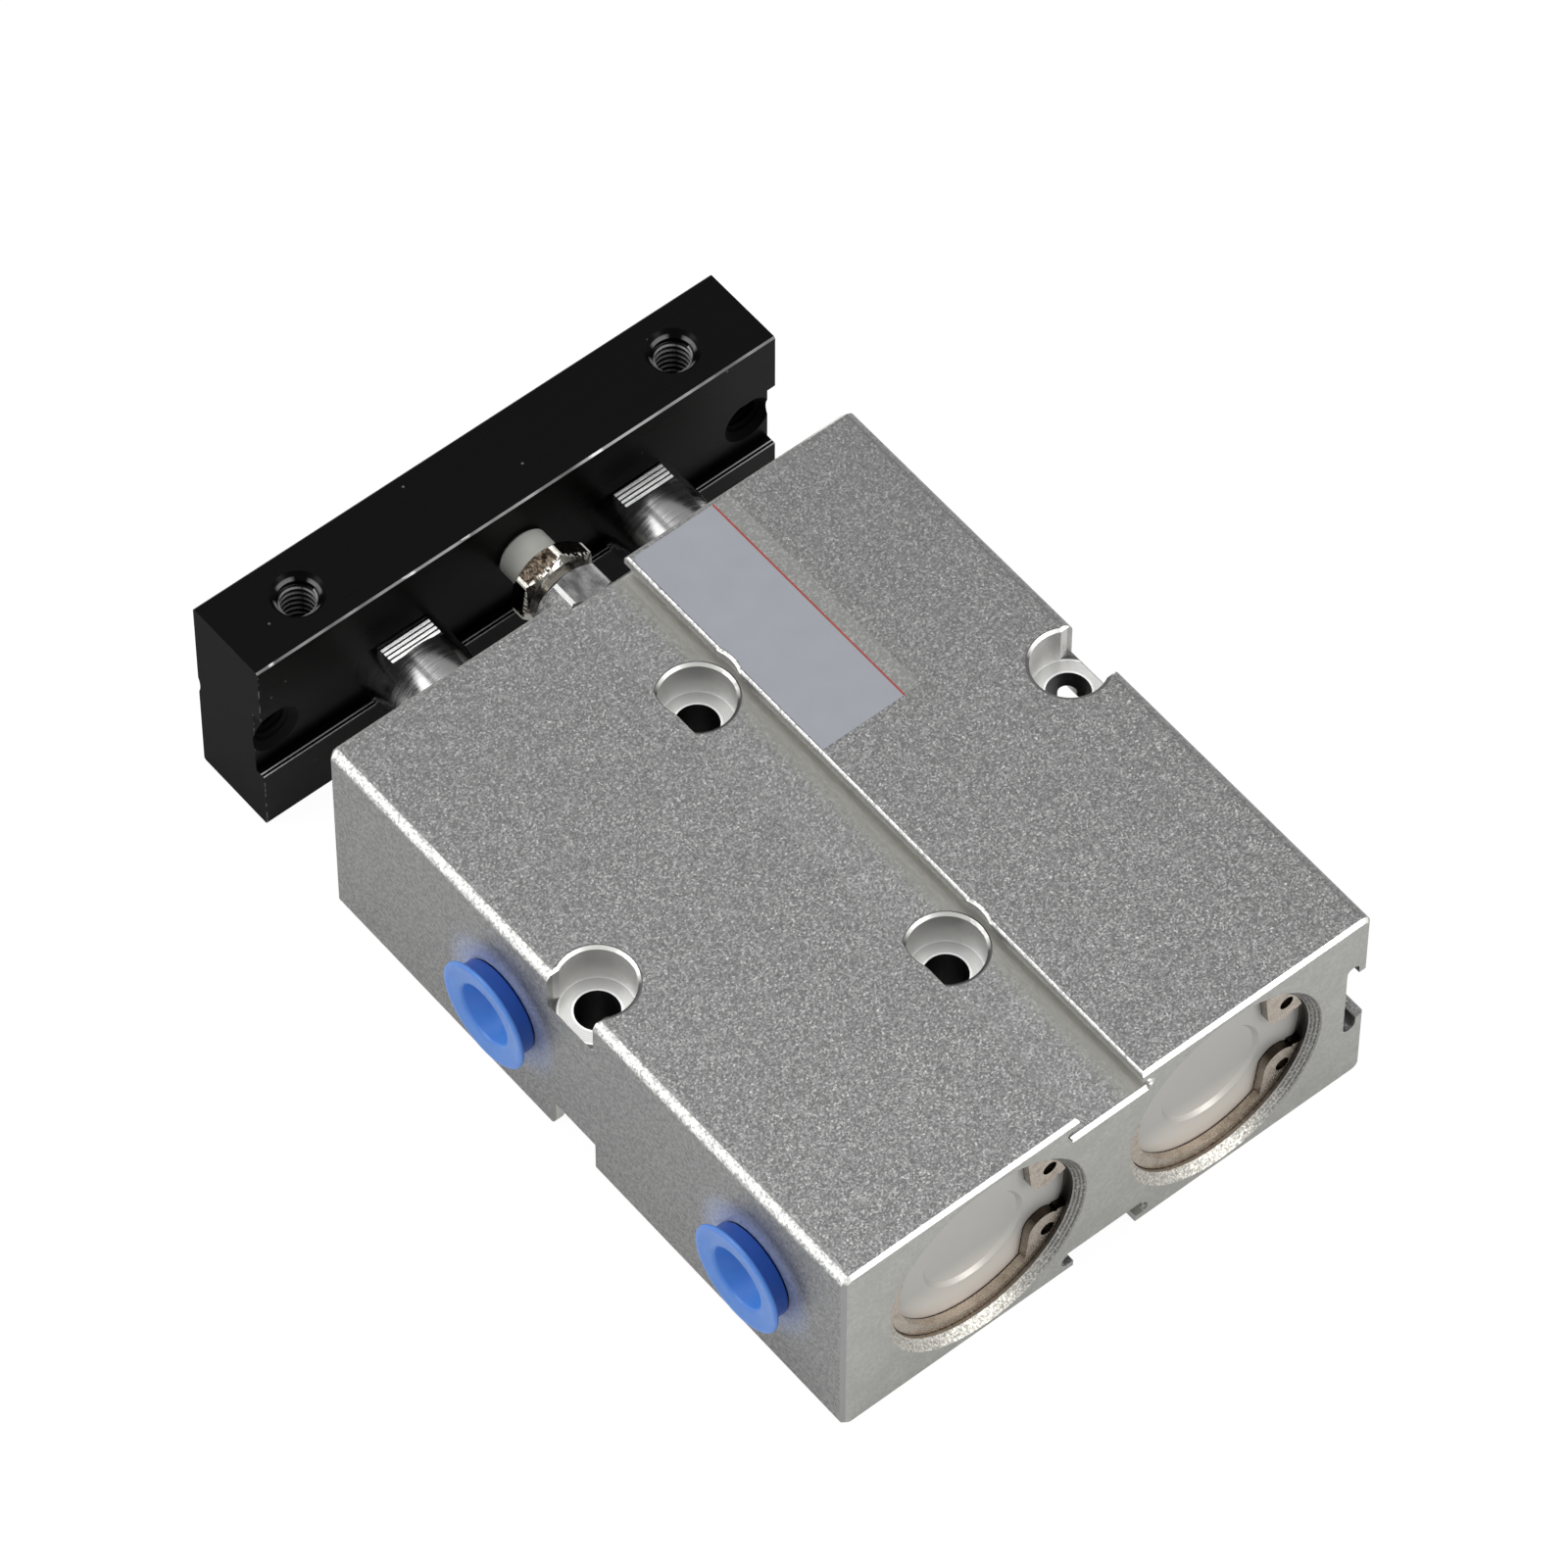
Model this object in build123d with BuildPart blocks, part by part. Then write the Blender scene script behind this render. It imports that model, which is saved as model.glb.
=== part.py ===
from build123d import *
from math import cos, radians, sin
import os

# Twin-rod guided air cylinder. Millimetres. X runs across the body, Y along the rods with +Y
# towards the tool plate, Z up. The origin lies on the plane of both rods, midway between the
# two screw holes on the centre line. Everything is drawn retracted.

# Housing
body_width = 64.0
body_base_length = 61.5
body_height = 25.5
long_edge_radius = 1.2
end_chamfer = 0.4
bore_pitch = 29.0
bore_diameter = 20.0
mouth_step = 1.0
mouth_chamfer = 0.9

# T-grooves: one along the top, one along the bottom, one for sensors on the right side
groove_mouth = 7.7
groove_cavity = 10.6
groove_depth = 2.7
groove_lip = 1.2
groove_corner = 0.7
groove_lip_chamfer = 0.25
sensor_groove_lift = 0.5

# Mounting screws: a cross of four holes, counterbored from the top and from the bottom
screw_hole_diameter = 4.5
counterbore_diameter = 7.7
counterbore_rim = 0.3
counterbore_depth_centre = 4.3
counterbore_depth_side = 4.8
side_slot_width = 6.8
centre_hole_setback = 15.8
centre_hole_pitch = 37.0
side_hole_setback = 36.5
side_hole_pitch = 57.5

# Air ports on the left side, with the drilling that joins both bores
front_port_setback = 26.0
rear_port_inset = 12.8
port_thread_diameter = 8.6
port_depth = 6.8
port_chamfer = 0.7
air_passage_diameter = 3.0

# Internal retaining rings
ring_setback = 1.3
ring_thickness = 1.0
ring_groove_width = 1.1
ring_groove_depth = 0.5
ring_width = 1.63
ring_offset = 0.2
ear_radius = 1.95
ear_inset = 2.2
ear_angle = 30.0
ear_tail_radius = 0.9
ear_tail_inset = 1.2
ear_tail_angle = 50.0
ear_hole_diameter = 1.6
ear_hole_inset = 1.65
ear_hole_angle = 32.0
ring_gap_angle = 18.5

# Rear caps
cap_flange_thickness = 2.0
cap_thickness = 6.2
cap_dish_diameter = 12.0
cap_dish_depth = 0.4
cap_seal_setback = 1.2

# Seals and cushions
static_ring_width = 1.6
static_groove_width = 2.0
static_groove_depth = 1.3
cushion_thickness = 1.2
cushion_diameter = 15.4
rear_cushion_hole_diameter = 4.0

# Front rod guides
guide_flange_thickness = 2.0
guide_seal_setback = 3.0
guide_land_length = 20.2
guide_length = 29.7
guide_nose_diameter = 15.5
bush_length = 22.0
bush_wall = 1.5
rod_seal_diameter = 16.0
rod_seal_length = 4.6
seal_lip_length = 1.2
seal_notch_width = 0.8

# Rods, pistons and their nuts
rod_diameter = 10.0
rod_spigot_diameter = 7.0
rod_thread_diameter = 6.0
rod_tail_recess = 0.3
thread_end_chamfer = 0.4
piston_length = 13.0
piston_land = 1.3
wear_ring_width = 2.5
wear_ring_thickness = 0.9
magnet_width = 3.0
magnet_thickness = 2.4
piston_seal_width = 2.4
piston_seal_thickness = 1.9
piston_edge_chamfer = 0.3
piston_nut_across_flats = 10.0
piston_nut_thickness = 5.0
stroke = 15.0
stroke_margin = 0.1

# Tool plate
plate_width = 63.5
plate_thickness = 10.0
plate_height = 25.0
plate_gap = 11.3
plate_channel_height = 9.4
plate_channel_depth = 1.2
plate_edge_chamfer = 0.2
plate_spigot_depth = 1.5
tapped_hole_diameter = 4.2
tapped_hole_chamfer = 0.7
plate_hole_pitch = 58.4
plate_top_hole_pitch = 46.0
flat_across = 8.0
flat_length = 3.8

# Plate screws, M5 socket heads let into the front of the plate
plate_screw_diameter = 5.0
plate_screw_head_diameter = 8.5
plate_screw_head_height = 5.0
plate_screw_recess_diameter = 9.2
plate_screw_recess_depth = 5.3
plate_screw_clearance = 0.25
plate_screw_grip = 9.5
plate_screw_tail_room = 1.0
plate_screw_head_chamfer = 0.3
plate_screw_socket = 4.0
plate_screw_socket_depth = 2.5

# Retract stop between the rods: hexagon screw, lock nut and plastic tip
stop_lift = 5.1
stop_screw_diameter = 5.0
stop_across_flats = 8.0
stop_nut_thickness = 4.1
stop_nut_angle = 55.0
stop_head_angle = 23.0
stop_head_thickness = 2.65
stop_adjustment = 1.0
stop_screw_reach = 8.0
stop_screw_hole_depth = 10.5
stop_tip_diameter = 5.6
stop_tip_chamfer = 0.3
stop_stem_diameter = 3.0
stop_stem_length = 2.0
hexagon_chamfer = 0.65
hexagon_face_inset = 0.2

# Port plugs
plug_proud = 2.05
plug_flange_diameter = 12.9
plug_flange_thickness = 0.9
plug_neck_diameter = 10.4
plug_standoff = 0.25
plug_shank_length = 5.6
plug_rib_count = 3
plug_rib_height = 0.3
plug_rib_crest = 0.3
plug_rib_slope = 0.5
plug_recess_diameter = 6.4
plug_recess_draft = 0.5
plug_recess_floor = 1.0
plug_rim_round = 0.35

# Clearances
running_clearance = 0.04
static_clearance = 0.02
piston_clearance = 0.08
free_clearance = 0.35
touch_gap = 0.02

# Places worked out from the sizes above
front_y = centre_hole_setback + centre_hole_pitch / 2
body_length = body_base_length + stroke
rear_y = front_y - body_length
bore_x = bore_pitch / 2
bore_r = bore_diameter / 2
mouth_r = bore_r + mouth_step
ring_r = mouth_r + ring_groove_depth
rod_r = rod_diameter / 2
recess = ring_setback + ring_thickness
half_height = body_height / 2
side_hole_y = front_y - side_hole_setback
side_hole_x = side_hole_pitch / 2

cap_face_y = rear_y + recess
cap_seat_y = cap_face_y + cap_flange_thickness
cap_inner_y = cap_face_y + cap_thickness
guide_face_y = front_y - recess
guide_seat_y = guide_face_y - guide_flange_thickness
guide_end_y = guide_face_y - guide_length
guide_land_end_y = guide_face_y - guide_land_length

piston_front_y = guide_end_y - cushion_thickness - stroke - stroke_margin
piston_rear_y = piston_front_y - piston_length
nut_rear_y = piston_rear_y - piston_nut_thickness

plate_rear_y = front_y + plate_gap
channel_y = plate_rear_y + plate_channel_depth
plate_front_y = plate_rear_y + plate_thickness
screw_seat_y = plate_front_y - plate_screw_recess_depth

stop_tip_y = plate_rear_y - touch_gap
stop_head_rear_y = front_y + stop_nut_thickness + stop_adjustment
stop_head_front_y = stop_head_rear_y + stop_head_thickness

SIDES = {"left": -bore_x, "right": bore_x}
PORTS = {"front": front_y - front_port_setback, "rear": rear_y + rear_port_inset}

os.makedirs("parts", exist_ok=True)


def save(piece, name):
    """Label a finished piece and write it to its own file."""
    piece.part.label = name
    export_step(piece.part, f"parts/{name}.step")


def cross_plane(y):
    """The plane across the rods at this Y, with X to the right and Z up. Its normal is -Y."""
    return Plane.XZ.offset(-y)


def turn(profile, origin, along=(0, 1, 0), mode=Mode.ADD):
    """Revolve a closed profile of (distance, radius) points around an axis, in the open builder."""
    across = (1, 0, 0) if along[2] else (0, 0, 1)
    with BuildSketch(Plane(origin=origin, x_dir=along, z_dir=across)) as outline:
        with BuildLine():
            Polyline(*profile, close=True)
        make_face()
    revolve(outline.sketch, axis=Axis(origin, along), mode=mode)


def sleeve_profile(y0, y1, inner, outer):
    """The half section of a plain ring or tube."""
    return [(y0, inner), (y1, inner), (y1, outer), (y0, outer)]


def hexagon(y0, y1, across_flats, angle, x=0.0, z=0.0):
    """A hexagon prism along Y with its corners chamfered at both ends, in the open builder."""
    with BuildSketch(cross_plane(y1)) as outline:
        with Locations((x, z)):
            RegularPolygon(across_flats / 2, 6, major_radius=False, rotation=angle)
    extrude(outline.sketch, amount=y1 - y0)
    corner_r = across_flats / 2 / cos(radians(30))
    face_r = across_flats / 2 - hexagon_face_inset
    half_length = (y1 - y0) / 2
    waist_r = face_r + (corner_r - face_r) * half_length / hexagon_chamfer
    cones = [(y0, 0), (y0, face_r), (y0 + half_length, waist_r), (y1, face_r), (y1, 0)]
    turn(cones, (x, 0, z), mode=Mode.INTERSECT)


def bore_profile():
    """The stepped bore: chamfered mouths, ring grooves, cap seats and the piston's own bore."""
    rear_groove = rear_y + ring_setback
    front_groove = front_y - ring_setback
    return [
        (rear_y, 0),
        (rear_y, mouth_r + mouth_chamfer),
        (rear_y + mouth_chamfer, mouth_r),
        (rear_groove, mouth_r),
        (rear_groove, ring_r),
        (rear_groove + ring_groove_width, ring_r),
        (rear_groove + ring_groove_width, mouth_r),
        (cap_seat_y, mouth_r),
        (cap_seat_y, bore_r),
        (guide_seat_y, bore_r),
        (guide_seat_y, mouth_r),
        (front_groove - ring_groove_width, mouth_r),
        (front_groove - ring_groove_width, ring_r),
        (front_groove, ring_r),
        (front_groove, mouth_r),
        (front_y - mouth_chamfer, mouth_r),
        (front_y, mouth_r + mouth_chamfer),
        (front_y, 0),
    ]


# Housing: an extrusion with undercut grooves, two stepped bores and the screw cross
groove_planes = [
    Plane(origin=(0, front_y, half_height), x_dir=(1, 0, 0), z_dir=(0, -1, 0)),
    Plane(origin=(0, front_y, -half_height), x_dir=(-1, 0, 0), z_dir=(0, -1, 0)),
    Plane(origin=(body_width / 2, front_y, sensor_groove_lift), x_dir=(0, 0, -1), z_dir=(0, -1, 0)),
]

with BuildPart() as housing:
    with BuildSketch(cross_plane(front_y)):
        RectangleRounded(body_width, body_height, long_edge_radius)
    extrude(amount=body_length)
    end_faces = housing.faces().filter_by(Axis.Y)
    chamfer(end_faces.edges(), end_chamfer)

    for groove_plane in groove_planes:
        with BuildSketch(groove_plane) as groove:
            with Locations((0, -groove_lip)):
                Rectangle(groove_cavity, groove_depth - groove_lip, align=(Align.CENTER, Align.MAX))
            fillet(groove.vertices(), groove_corner)
            Rectangle(groove_mouth, groove_depth - groove_corner, align=(Align.CENTER, Align.MAX))
            with BuildLine():
                Polyline(
                    (-groove_mouth / 2 - groove_lip_chamfer, 0),
                    (groove_mouth / 2 + groove_lip_chamfer, 0),
                    (groove_mouth / 2, -groove_lip_chamfer),
                    (-groove_mouth / 2, -groove_lip_chamfer),
                    close=True,
                )
            make_face()
        extrude(amount=body_length, mode=Mode.SUBTRACT)

    floor_z = half_height - groove_depth
    for end_y, inward in ((front_y, -1), (rear_y, 1)):
        for side in (1, -1):
            with BuildSketch(Plane.YZ):
                with BuildLine():
                    Polyline(
                        (end_y, side * floor_z),
                        (end_y + inward * end_chamfer, side * floor_z),
                        (end_y, side * (floor_z - end_chamfer)),
                        close=True,
                    )
                make_face()
            extrude(amount=groove_cavity / 2 - groove_corner, both=True, mode=Mode.SUBTRACT)

    for x in SIDES.values():
        turn(bore_profile(), (x, 0, 0), mode=Mode.SUBTRACT)

    with BuildSketch(Plane.XY):
        with GridLocations(0, centre_hole_pitch, 1, 2):
            Circle(screw_hole_diameter / 2)
        with Locations((0, side_hole_y)):
            with GridLocations(side_hole_pitch, 0, 2, 1):
                Circle(screw_hole_diameter / 2)
    extrude(amount=half_height, both=True, mode=Mode.SUBTRACT)

    counterbore_r = counterbore_diameter / 2
    rim_r = counterbore_r + counterbore_rim
    counterbore_profile = [
        (floor_z - counterbore_depth_centre, 0),
        (floor_z - counterbore_depth_centre, counterbore_r),
        (floor_z - counterbore_rim, counterbore_r),
        (floor_z, rim_r),
        (half_height - groove_lip_chamfer, rim_r),
        (half_height, rim_r + groove_lip_chamfer),
        (half_height, 0),
    ]
    for side in (1, -1):
        for y in (-centre_hole_pitch / 2, centre_hole_pitch / 2):
            turn(counterbore_profile, (0, y, 0), (0, 0, side), Mode.SUBTRACT)

        for depth, widening in ((counterbore_depth_side, 0), (counterbore_rim, -45)):
            outlook = Plane(origin=(0, 0, side * (half_height - depth)), x_dir=(1, 0, 0), z_dir=(0, 0, side))
            with BuildSketch(outlook) as counterbores:
                for x, outward in ((-side_hole_x, Align.MAX), (side_hole_x, Align.MIN)):
                    with Locations((x, side * side_hole_y)):
                        Circle(counterbore_r)
                        Rectangle(body_width / 2, side_slot_width, align=(outward, Align.CENTER))
            extrude(counterbores.sketch, amount=depth, taper=widening, mode=Mode.SUBTRACT)

    for port_y in PORTS.values():
        port_r = port_thread_diameter / 2
        port_profile = [
            (0, 0),
            (0, port_r + port_chamfer),
            (port_chamfer, port_r),
            (port_depth, port_r),
            (port_depth + port_r / 2, 0),
        ]
        turn(port_profile, (-body_width / 2, port_y, 0), (1, 0, 0), Mode.SUBTRACT)
        with BuildSketch(Plane.YZ.offset(-body_width / 2 + port_depth)):
            with Locations((port_y, 0)):
                Circle(air_passage_diameter / 2)
        extrude(amount=body_width / 2 - port_depth + bore_x, mode=Mode.SUBTRACT)

    with BuildSketch(cross_plane(front_y)):
        with Locations((0, stop_lift)):
            Circle(stop_screw_diameter / 2 + running_clearance)
    extrude(amount=stop_screw_hole_depth, mode=Mode.SUBTRACT)
save(housing, "housing")


def polar(x, reach, angle):
    """A point at this distance and angle from a bore's axis."""
    return (x + reach * cos(radians(angle)), reach * sin(radians(angle)))


def retaining_ring(x, y0):
    """An internal retaining ring whose eared gap faces +X, lying from y0 to y0 plus its thickness."""
    outer_r = ring_r - static_clearance
    with BuildPart() as ring:
        with BuildSketch(cross_plane(y0 + ring_thickness)) as outline:
            with Locations((x, 0)):
                Circle(outer_r)
            with Locations((x + ring_offset, 0)):
                Circle(outer_r - ring_width, mode=Mode.SUBTRACT)
            for side in (1, -1):
                with BuildSketch() as ear:
                    with Locations(polar(x, ring_r - ear_inset, side * ear_angle)):
                        Circle(ear_radius)
                    with Locations(polar(x, ring_r - ear_tail_inset, side * ear_tail_angle)):
                        Circle(ear_tail_radius)
                    make_hull()
                add(ear.sketch)
            with Locations((x, 0)):
                Circle(outer_r, mode=Mode.INTERSECT)
            hole_reach = ring_r - ear_hole_inset
            with Locations(*(polar(x, hole_reach, side * ear_hole_angle) for side in (1, -1))):
                Circle(ear_hole_diameter / 2, mode=Mode.SUBTRACT)
            gap_reach = 2 * outer_r
            gap_rise = gap_reach * sin(radians(ring_gap_angle))
            with BuildLine():
                Polyline((x, 0), (x + gap_reach, gap_rise), (x + gap_reach, -gap_rise), close=True)
            make_face(mode=Mode.SUBTRACT)
        extrude(outline.sketch, amount=ring_thickness)
    return ring


def static_ring(x, groove_y, seat_r):
    """A seal ring squeezed flat between a groove floor and the bore."""
    inner = seat_r - static_groove_depth + static_clearance
    start_y = groove_y + (static_groove_width - static_ring_width) / 2
    with BuildPart() as ring:
        turn(sleeve_profile(start_y, start_y + static_ring_width, inner, seat_r), (x, 0, 0))
    return ring


# The pieces of one bore, made for the left and for the right
for side_name, x in SIDES.items():
    centre = (x, 0, 0)
    spigot_r = bore_r - 2 * static_clearance

    # Rear cap with its shallow dish and seal groove
    cap_groove_y = cap_inner_y - cap_seal_setback - static_groove_width
    with BuildPart() as rear_cap:
        cap_profile = [
            (cap_face_y + cap_dish_depth, 0),
            (cap_face_y + cap_dish_depth, cap_dish_diameter / 2 - cap_dish_depth),
            (cap_face_y, cap_dish_diameter / 2),
            (cap_face_y, mouth_r - static_clearance),
            (cap_seat_y, mouth_r - static_clearance),
            (cap_seat_y, spigot_r),
            (cap_groove_y, spigot_r),
            (cap_groove_y, spigot_r - static_groove_depth),
            (cap_groove_y + static_groove_width, spigot_r - static_groove_depth),
            (cap_groove_y + static_groove_width, spigot_r),
            (cap_inner_y, spigot_r),
            (cap_inner_y, 0),
        ]
        turn(cap_profile, centre)
    save(rear_cap, f"rear_cap_{side_name}")
    save(static_ring(x, cap_groove_y, spigot_r), f"rear_cap_seal_{side_name}")
    save(retaining_ring(x, rear_y + ring_setback), f"rear_retaining_ring_{side_name}")

    # Cushion glued to the inner face of the cap
    with BuildPart() as rear_cushion:
        turn(
            sleeve_profile(
                cap_inner_y,
                cap_inner_y + cushion_thickness,
                rear_cushion_hole_diameter / 2,
                cushion_diameter / 2,
            ),
            centre,
        )
    save(rear_cushion, f"rear_cushion_{side_name}")

    # Rod guide: flange against the seat, seal pocket in front, bush pocket behind
    guide_groove_y = guide_seat_y - guide_seal_setback - static_groove_width
    throat_r = rod_r + free_clearance
    pocket_r = rod_seal_diameter / 2
    pocket_end_y = guide_face_y - rod_seal_length - touch_gap
    bush_outer_r = rod_r + running_clearance + bush_wall
    bush_front_y = guide_end_y + bush_length + touch_gap
    with BuildPart() as rod_guide:
        guide_profile = [
            (guide_face_y, pocket_r),
            (guide_face_y, mouth_r - static_clearance),
            (guide_seat_y, mouth_r - static_clearance),
            (guide_seat_y, spigot_r),
            (guide_groove_y + static_groove_width, spigot_r),
            (guide_groove_y + static_groove_width, spigot_r - static_groove_depth),
            (guide_groove_y, spigot_r - static_groove_depth),
            (guide_groove_y, spigot_r),
            (guide_land_end_y, spigot_r),
            (guide_land_end_y, guide_nose_diameter / 2),
            (guide_end_y, guide_nose_diameter / 2),
            (guide_end_y, bush_outer_r),
            (bush_front_y, bush_outer_r),
            (bush_front_y, throat_r),
            (pocket_end_y, throat_r),
            (pocket_end_y, pocket_r),
        ]
        turn(guide_profile, centre)
    save(rod_guide, f"rod_guide_{side_name}")
    save(static_ring(x, guide_groove_y, spigot_r), f"rod_guide_seal_{side_name}")
    save(retaining_ring(x, front_y - recess), f"front_retaining_ring_{side_name}")

    with BuildPart() as guide_bush:
        bush_profile = sleeve_profile(
            guide_end_y,
            guide_end_y + bush_length,
            rod_r + running_clearance,
            bush_outer_r - static_clearance,
        )
        turn(bush_profile, centre)
    save(guide_bush, f"guide_bush_{side_name}")

    # Rod seal: a U section open towards the pressure, with a wiping lip at each end
    with BuildPart() as rod_seal:
        lip_r = rod_r + running_clearance
        heel_r = pocket_r - static_clearance
        seal_back_y = guide_face_y - rod_seal_length
        seal_middle = (lip_r + heel_r) / 2
        seal_profile = [
            (guide_face_y, lip_r),
            (guide_face_y - seal_lip_length, lip_r + running_clearance),
            (seal_back_y + seal_lip_length, lip_r + running_clearance),
            (seal_back_y, lip_r),
            (seal_back_y, seal_middle - seal_notch_width / 2),
            (seal_back_y + 2 * seal_lip_length, seal_middle),
            (seal_back_y, seal_middle + seal_notch_width / 2),
            (seal_back_y, heel_r),
            (guide_face_y, heel_r),
        ]
        turn(seal_profile, centre)
    save(rod_seal, f"rod_seal_{side_name}")

    with BuildPart() as front_cushion:
        turn(
            sleeve_profile(
                guide_end_y - cushion_thickness, guide_end_y, throat_r, cushion_diameter / 2
            ),
            centre,
        )
    save(front_cushion, f"front_cushion_{side_name}")

    # Piston with grooves for its wear ring, magnet and seal, in that order from the front
    piston_r = bore_r - piston_clearance
    wear_y = piston_front_y - piston_land - wear_ring_width
    magnet_y = wear_y - piston_land - magnet_width
    seal_y = magnet_y - piston_land - piston_seal_width
    wear_floor = piston_r - wear_ring_thickness
    magnet_floor = piston_r - magnet_thickness
    seal_floor = piston_r - piston_seal_thickness
    hub_r = rod_spigot_diameter / 2 + static_clearance
    with BuildPart() as piston:
        piston_profile = [
            (piston_front_y, hub_r),
            (piston_front_y, piston_r - piston_edge_chamfer),
            (piston_front_y - piston_edge_chamfer, piston_r),
            (wear_y + wear_ring_width, piston_r),
            (wear_y + wear_ring_width, wear_floor),
            (wear_y, wear_floor),
            (wear_y, piston_r),
            (magnet_y + magnet_width, piston_r),
            (magnet_y + magnet_width, magnet_floor),
            (magnet_y, magnet_floor),
            (magnet_y, piston_r),
            (seal_y + piston_seal_width, piston_r),
            (seal_y + piston_seal_width, seal_floor),
            (seal_y, seal_floor),
            (seal_y, piston_r),
            (piston_rear_y + piston_edge_chamfer, piston_r),
            (piston_rear_y, piston_r - piston_edge_chamfer),
            (piston_rear_y, hub_r),
        ]
        turn(piston_profile, centre)
    save(piston, f"piston_{side_name}")

    bands = {
        "wear_ring": (wear_y, wear_ring_width, wear_floor, bore_r - running_clearance),
        "piston_magnet": (magnet_y, magnet_width, magnet_floor, bore_r - free_clearance),
        "piston_seal": (seal_y, piston_seal_width, seal_floor, bore_r - running_clearance),
    }
    for band_name, (band_y, band_width, band_floor, band_r) in bands.items():
        with BuildPart() as band:
            turn(
                sleeve_profile(
                    band_y + static_clearance,
                    band_y + band_width - static_clearance,
                    band_floor + static_clearance,
                    band_r,
                ),
                centre,
            )
        save(band, f"{band_name}_{side_name}")

    with BuildPart() as piston_nut:
        hexagon(nut_rear_y, piston_rear_y, piston_nut_across_flats, 0, x)
        with BuildSketch(cross_plane(piston_rear_y)):
            with Locations((x, 0)):
                Circle(rod_thread_diameter / 2 + static_clearance)
        extrude(amount=piston_nut_thickness, mode=Mode.SUBTRACT)
    save(piston_nut, f"piston_nut_{side_name}")

    # Rod: shouldered at both ends, tapped in front, with two wrench flats beside the plate
    with BuildPart() as rod:
        rod_tail_y = nut_rear_y + rod_tail_recess
        spigot_end_y = channel_y + plate_spigot_depth - touch_gap
        rod_profile = [
            (rod_tail_y, 0),
            (rod_tail_y, rod_thread_diameter / 2 - thread_end_chamfer),
            (rod_tail_y + thread_end_chamfer, rod_thread_diameter / 2),
            (piston_rear_y, rod_thread_diameter / 2),
            (piston_rear_y, rod_spigot_diameter / 2),
            (piston_front_y, rod_spigot_diameter / 2),
            (piston_front_y, rod_r),
            (channel_y, rod_r),
            (channel_y, rod_spigot_diameter / 2),
            (spigot_end_y, rod_spigot_diameter / 2),
            (spigot_end_y, 0),
        ]
        turn(rod_profile, centre)
        with BuildSketch(cross_plane(channel_y)):
            for side, outward in ((1, Align.MIN), (-1, Align.MAX)):
                with Locations((x, side * flat_across / 2)):
                    Rectangle(rod_diameter, rod_r, align=(Align.CENTER, outward))
        extrude(amount=flat_length, mode=Mode.SUBTRACT)
        with BuildSketch(cross_plane(channel_y + plate_spigot_depth)):
            with Locations((x, 0)):
                Circle(plate_screw_diameter / 2 + static_clearance)
        extrude(
            amount=plate_spigot_depth + plate_screw_grip + plate_screw_tail_room,
            mode=Mode.SUBTRACT,
        )
    save(rod, f"rod_{side_name}")

# Tool plate: a bar with a channel along its rear face
with BuildPart() as tool_plate:
    with BuildSketch(cross_plane(plate_front_y)):
        Rectangle(plate_width, plate_height)
    extrude(amount=plate_thickness)
    chamfer(tool_plate.edges().filter_by(Axis.X), plate_edge_chamfer)
    with BuildSketch(cross_plane(channel_y)):
        Rectangle(plate_width, plate_channel_height)
    extrude(amount=plate_channel_depth, mode=Mode.SUBTRACT)

    rod_places = [(x, 0) for x in SIDES.values()]
    for radius, start_y, depth in (
        (rod_spigot_diameter / 2 + static_clearance, channel_y + plate_spigot_depth, plate_spigot_depth),
        (plate_screw_diameter / 2 + plate_screw_clearance, plate_front_y, plate_thickness),
        (plate_screw_recess_diameter / 2, plate_front_y, plate_screw_recess_depth),
    ):
        with BuildSketch(cross_plane(start_y)):
            with Locations(*rod_places):
                Circle(radius)
        extrude(amount=depth, mode=Mode.SUBTRACT)

    tapped_r = tapped_hole_diameter / 2
    plate_middle_y = (plate_rear_y + plate_front_y) / 2
    for origin, along, start, end, pitch in (
        ((0, 0, 0), (0, 1, 0), channel_y, plate_front_y, plate_hole_pitch),
        ((0, plate_middle_y, 0), (0, 0, 1), -plate_height / 2, plate_height / 2, plate_top_hole_pitch),
    ):
        hole_profile = [
            (start, 0),
            (start, tapped_r + tapped_hole_chamfer),
            (start + tapped_hole_chamfer, tapped_r),
            (end - tapped_hole_chamfer, tapped_r),
            (end, tapped_r + tapped_hole_chamfer),
            (end, 0),
        ]
        for x in (-pitch / 2, pitch / 2):
            turn(hole_profile, (x, *origin[1:]), along, Mode.SUBTRACT)
save(tool_plate, "tool_plate")

# The two plate screws share one file, as two separate solids
with BuildPart() as plate_screws:
    for x in SIDES.values():
        head_top_y = screw_seat_y + plate_screw_head_height
        screw_tip_y = channel_y - plate_screw_grip
        screw_profile = [
            (screw_tip_y, 0),
            (screw_tip_y, plate_screw_diameter / 2 - thread_end_chamfer),
            (screw_tip_y + thread_end_chamfer, plate_screw_diameter / 2),
            (screw_seat_y, plate_screw_diameter / 2),
            (screw_seat_y, plate_screw_head_diameter / 2),
            (head_top_y - plate_screw_head_chamfer, plate_screw_head_diameter / 2),
            (head_top_y, plate_screw_head_diameter / 2 - plate_screw_head_chamfer),
            (head_top_y, 0),
        ]
        turn(screw_profile, (x, 0, 0))
        with BuildSketch(cross_plane(head_top_y)):
            with Locations((x, 0)):
                RegularPolygon(plate_screw_socket / 2, 6, major_radius=False)
        extrude(amount=plate_screw_socket_depth, mode=Mode.SUBTRACT)
save(plate_screws, "plate_screws")

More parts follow.
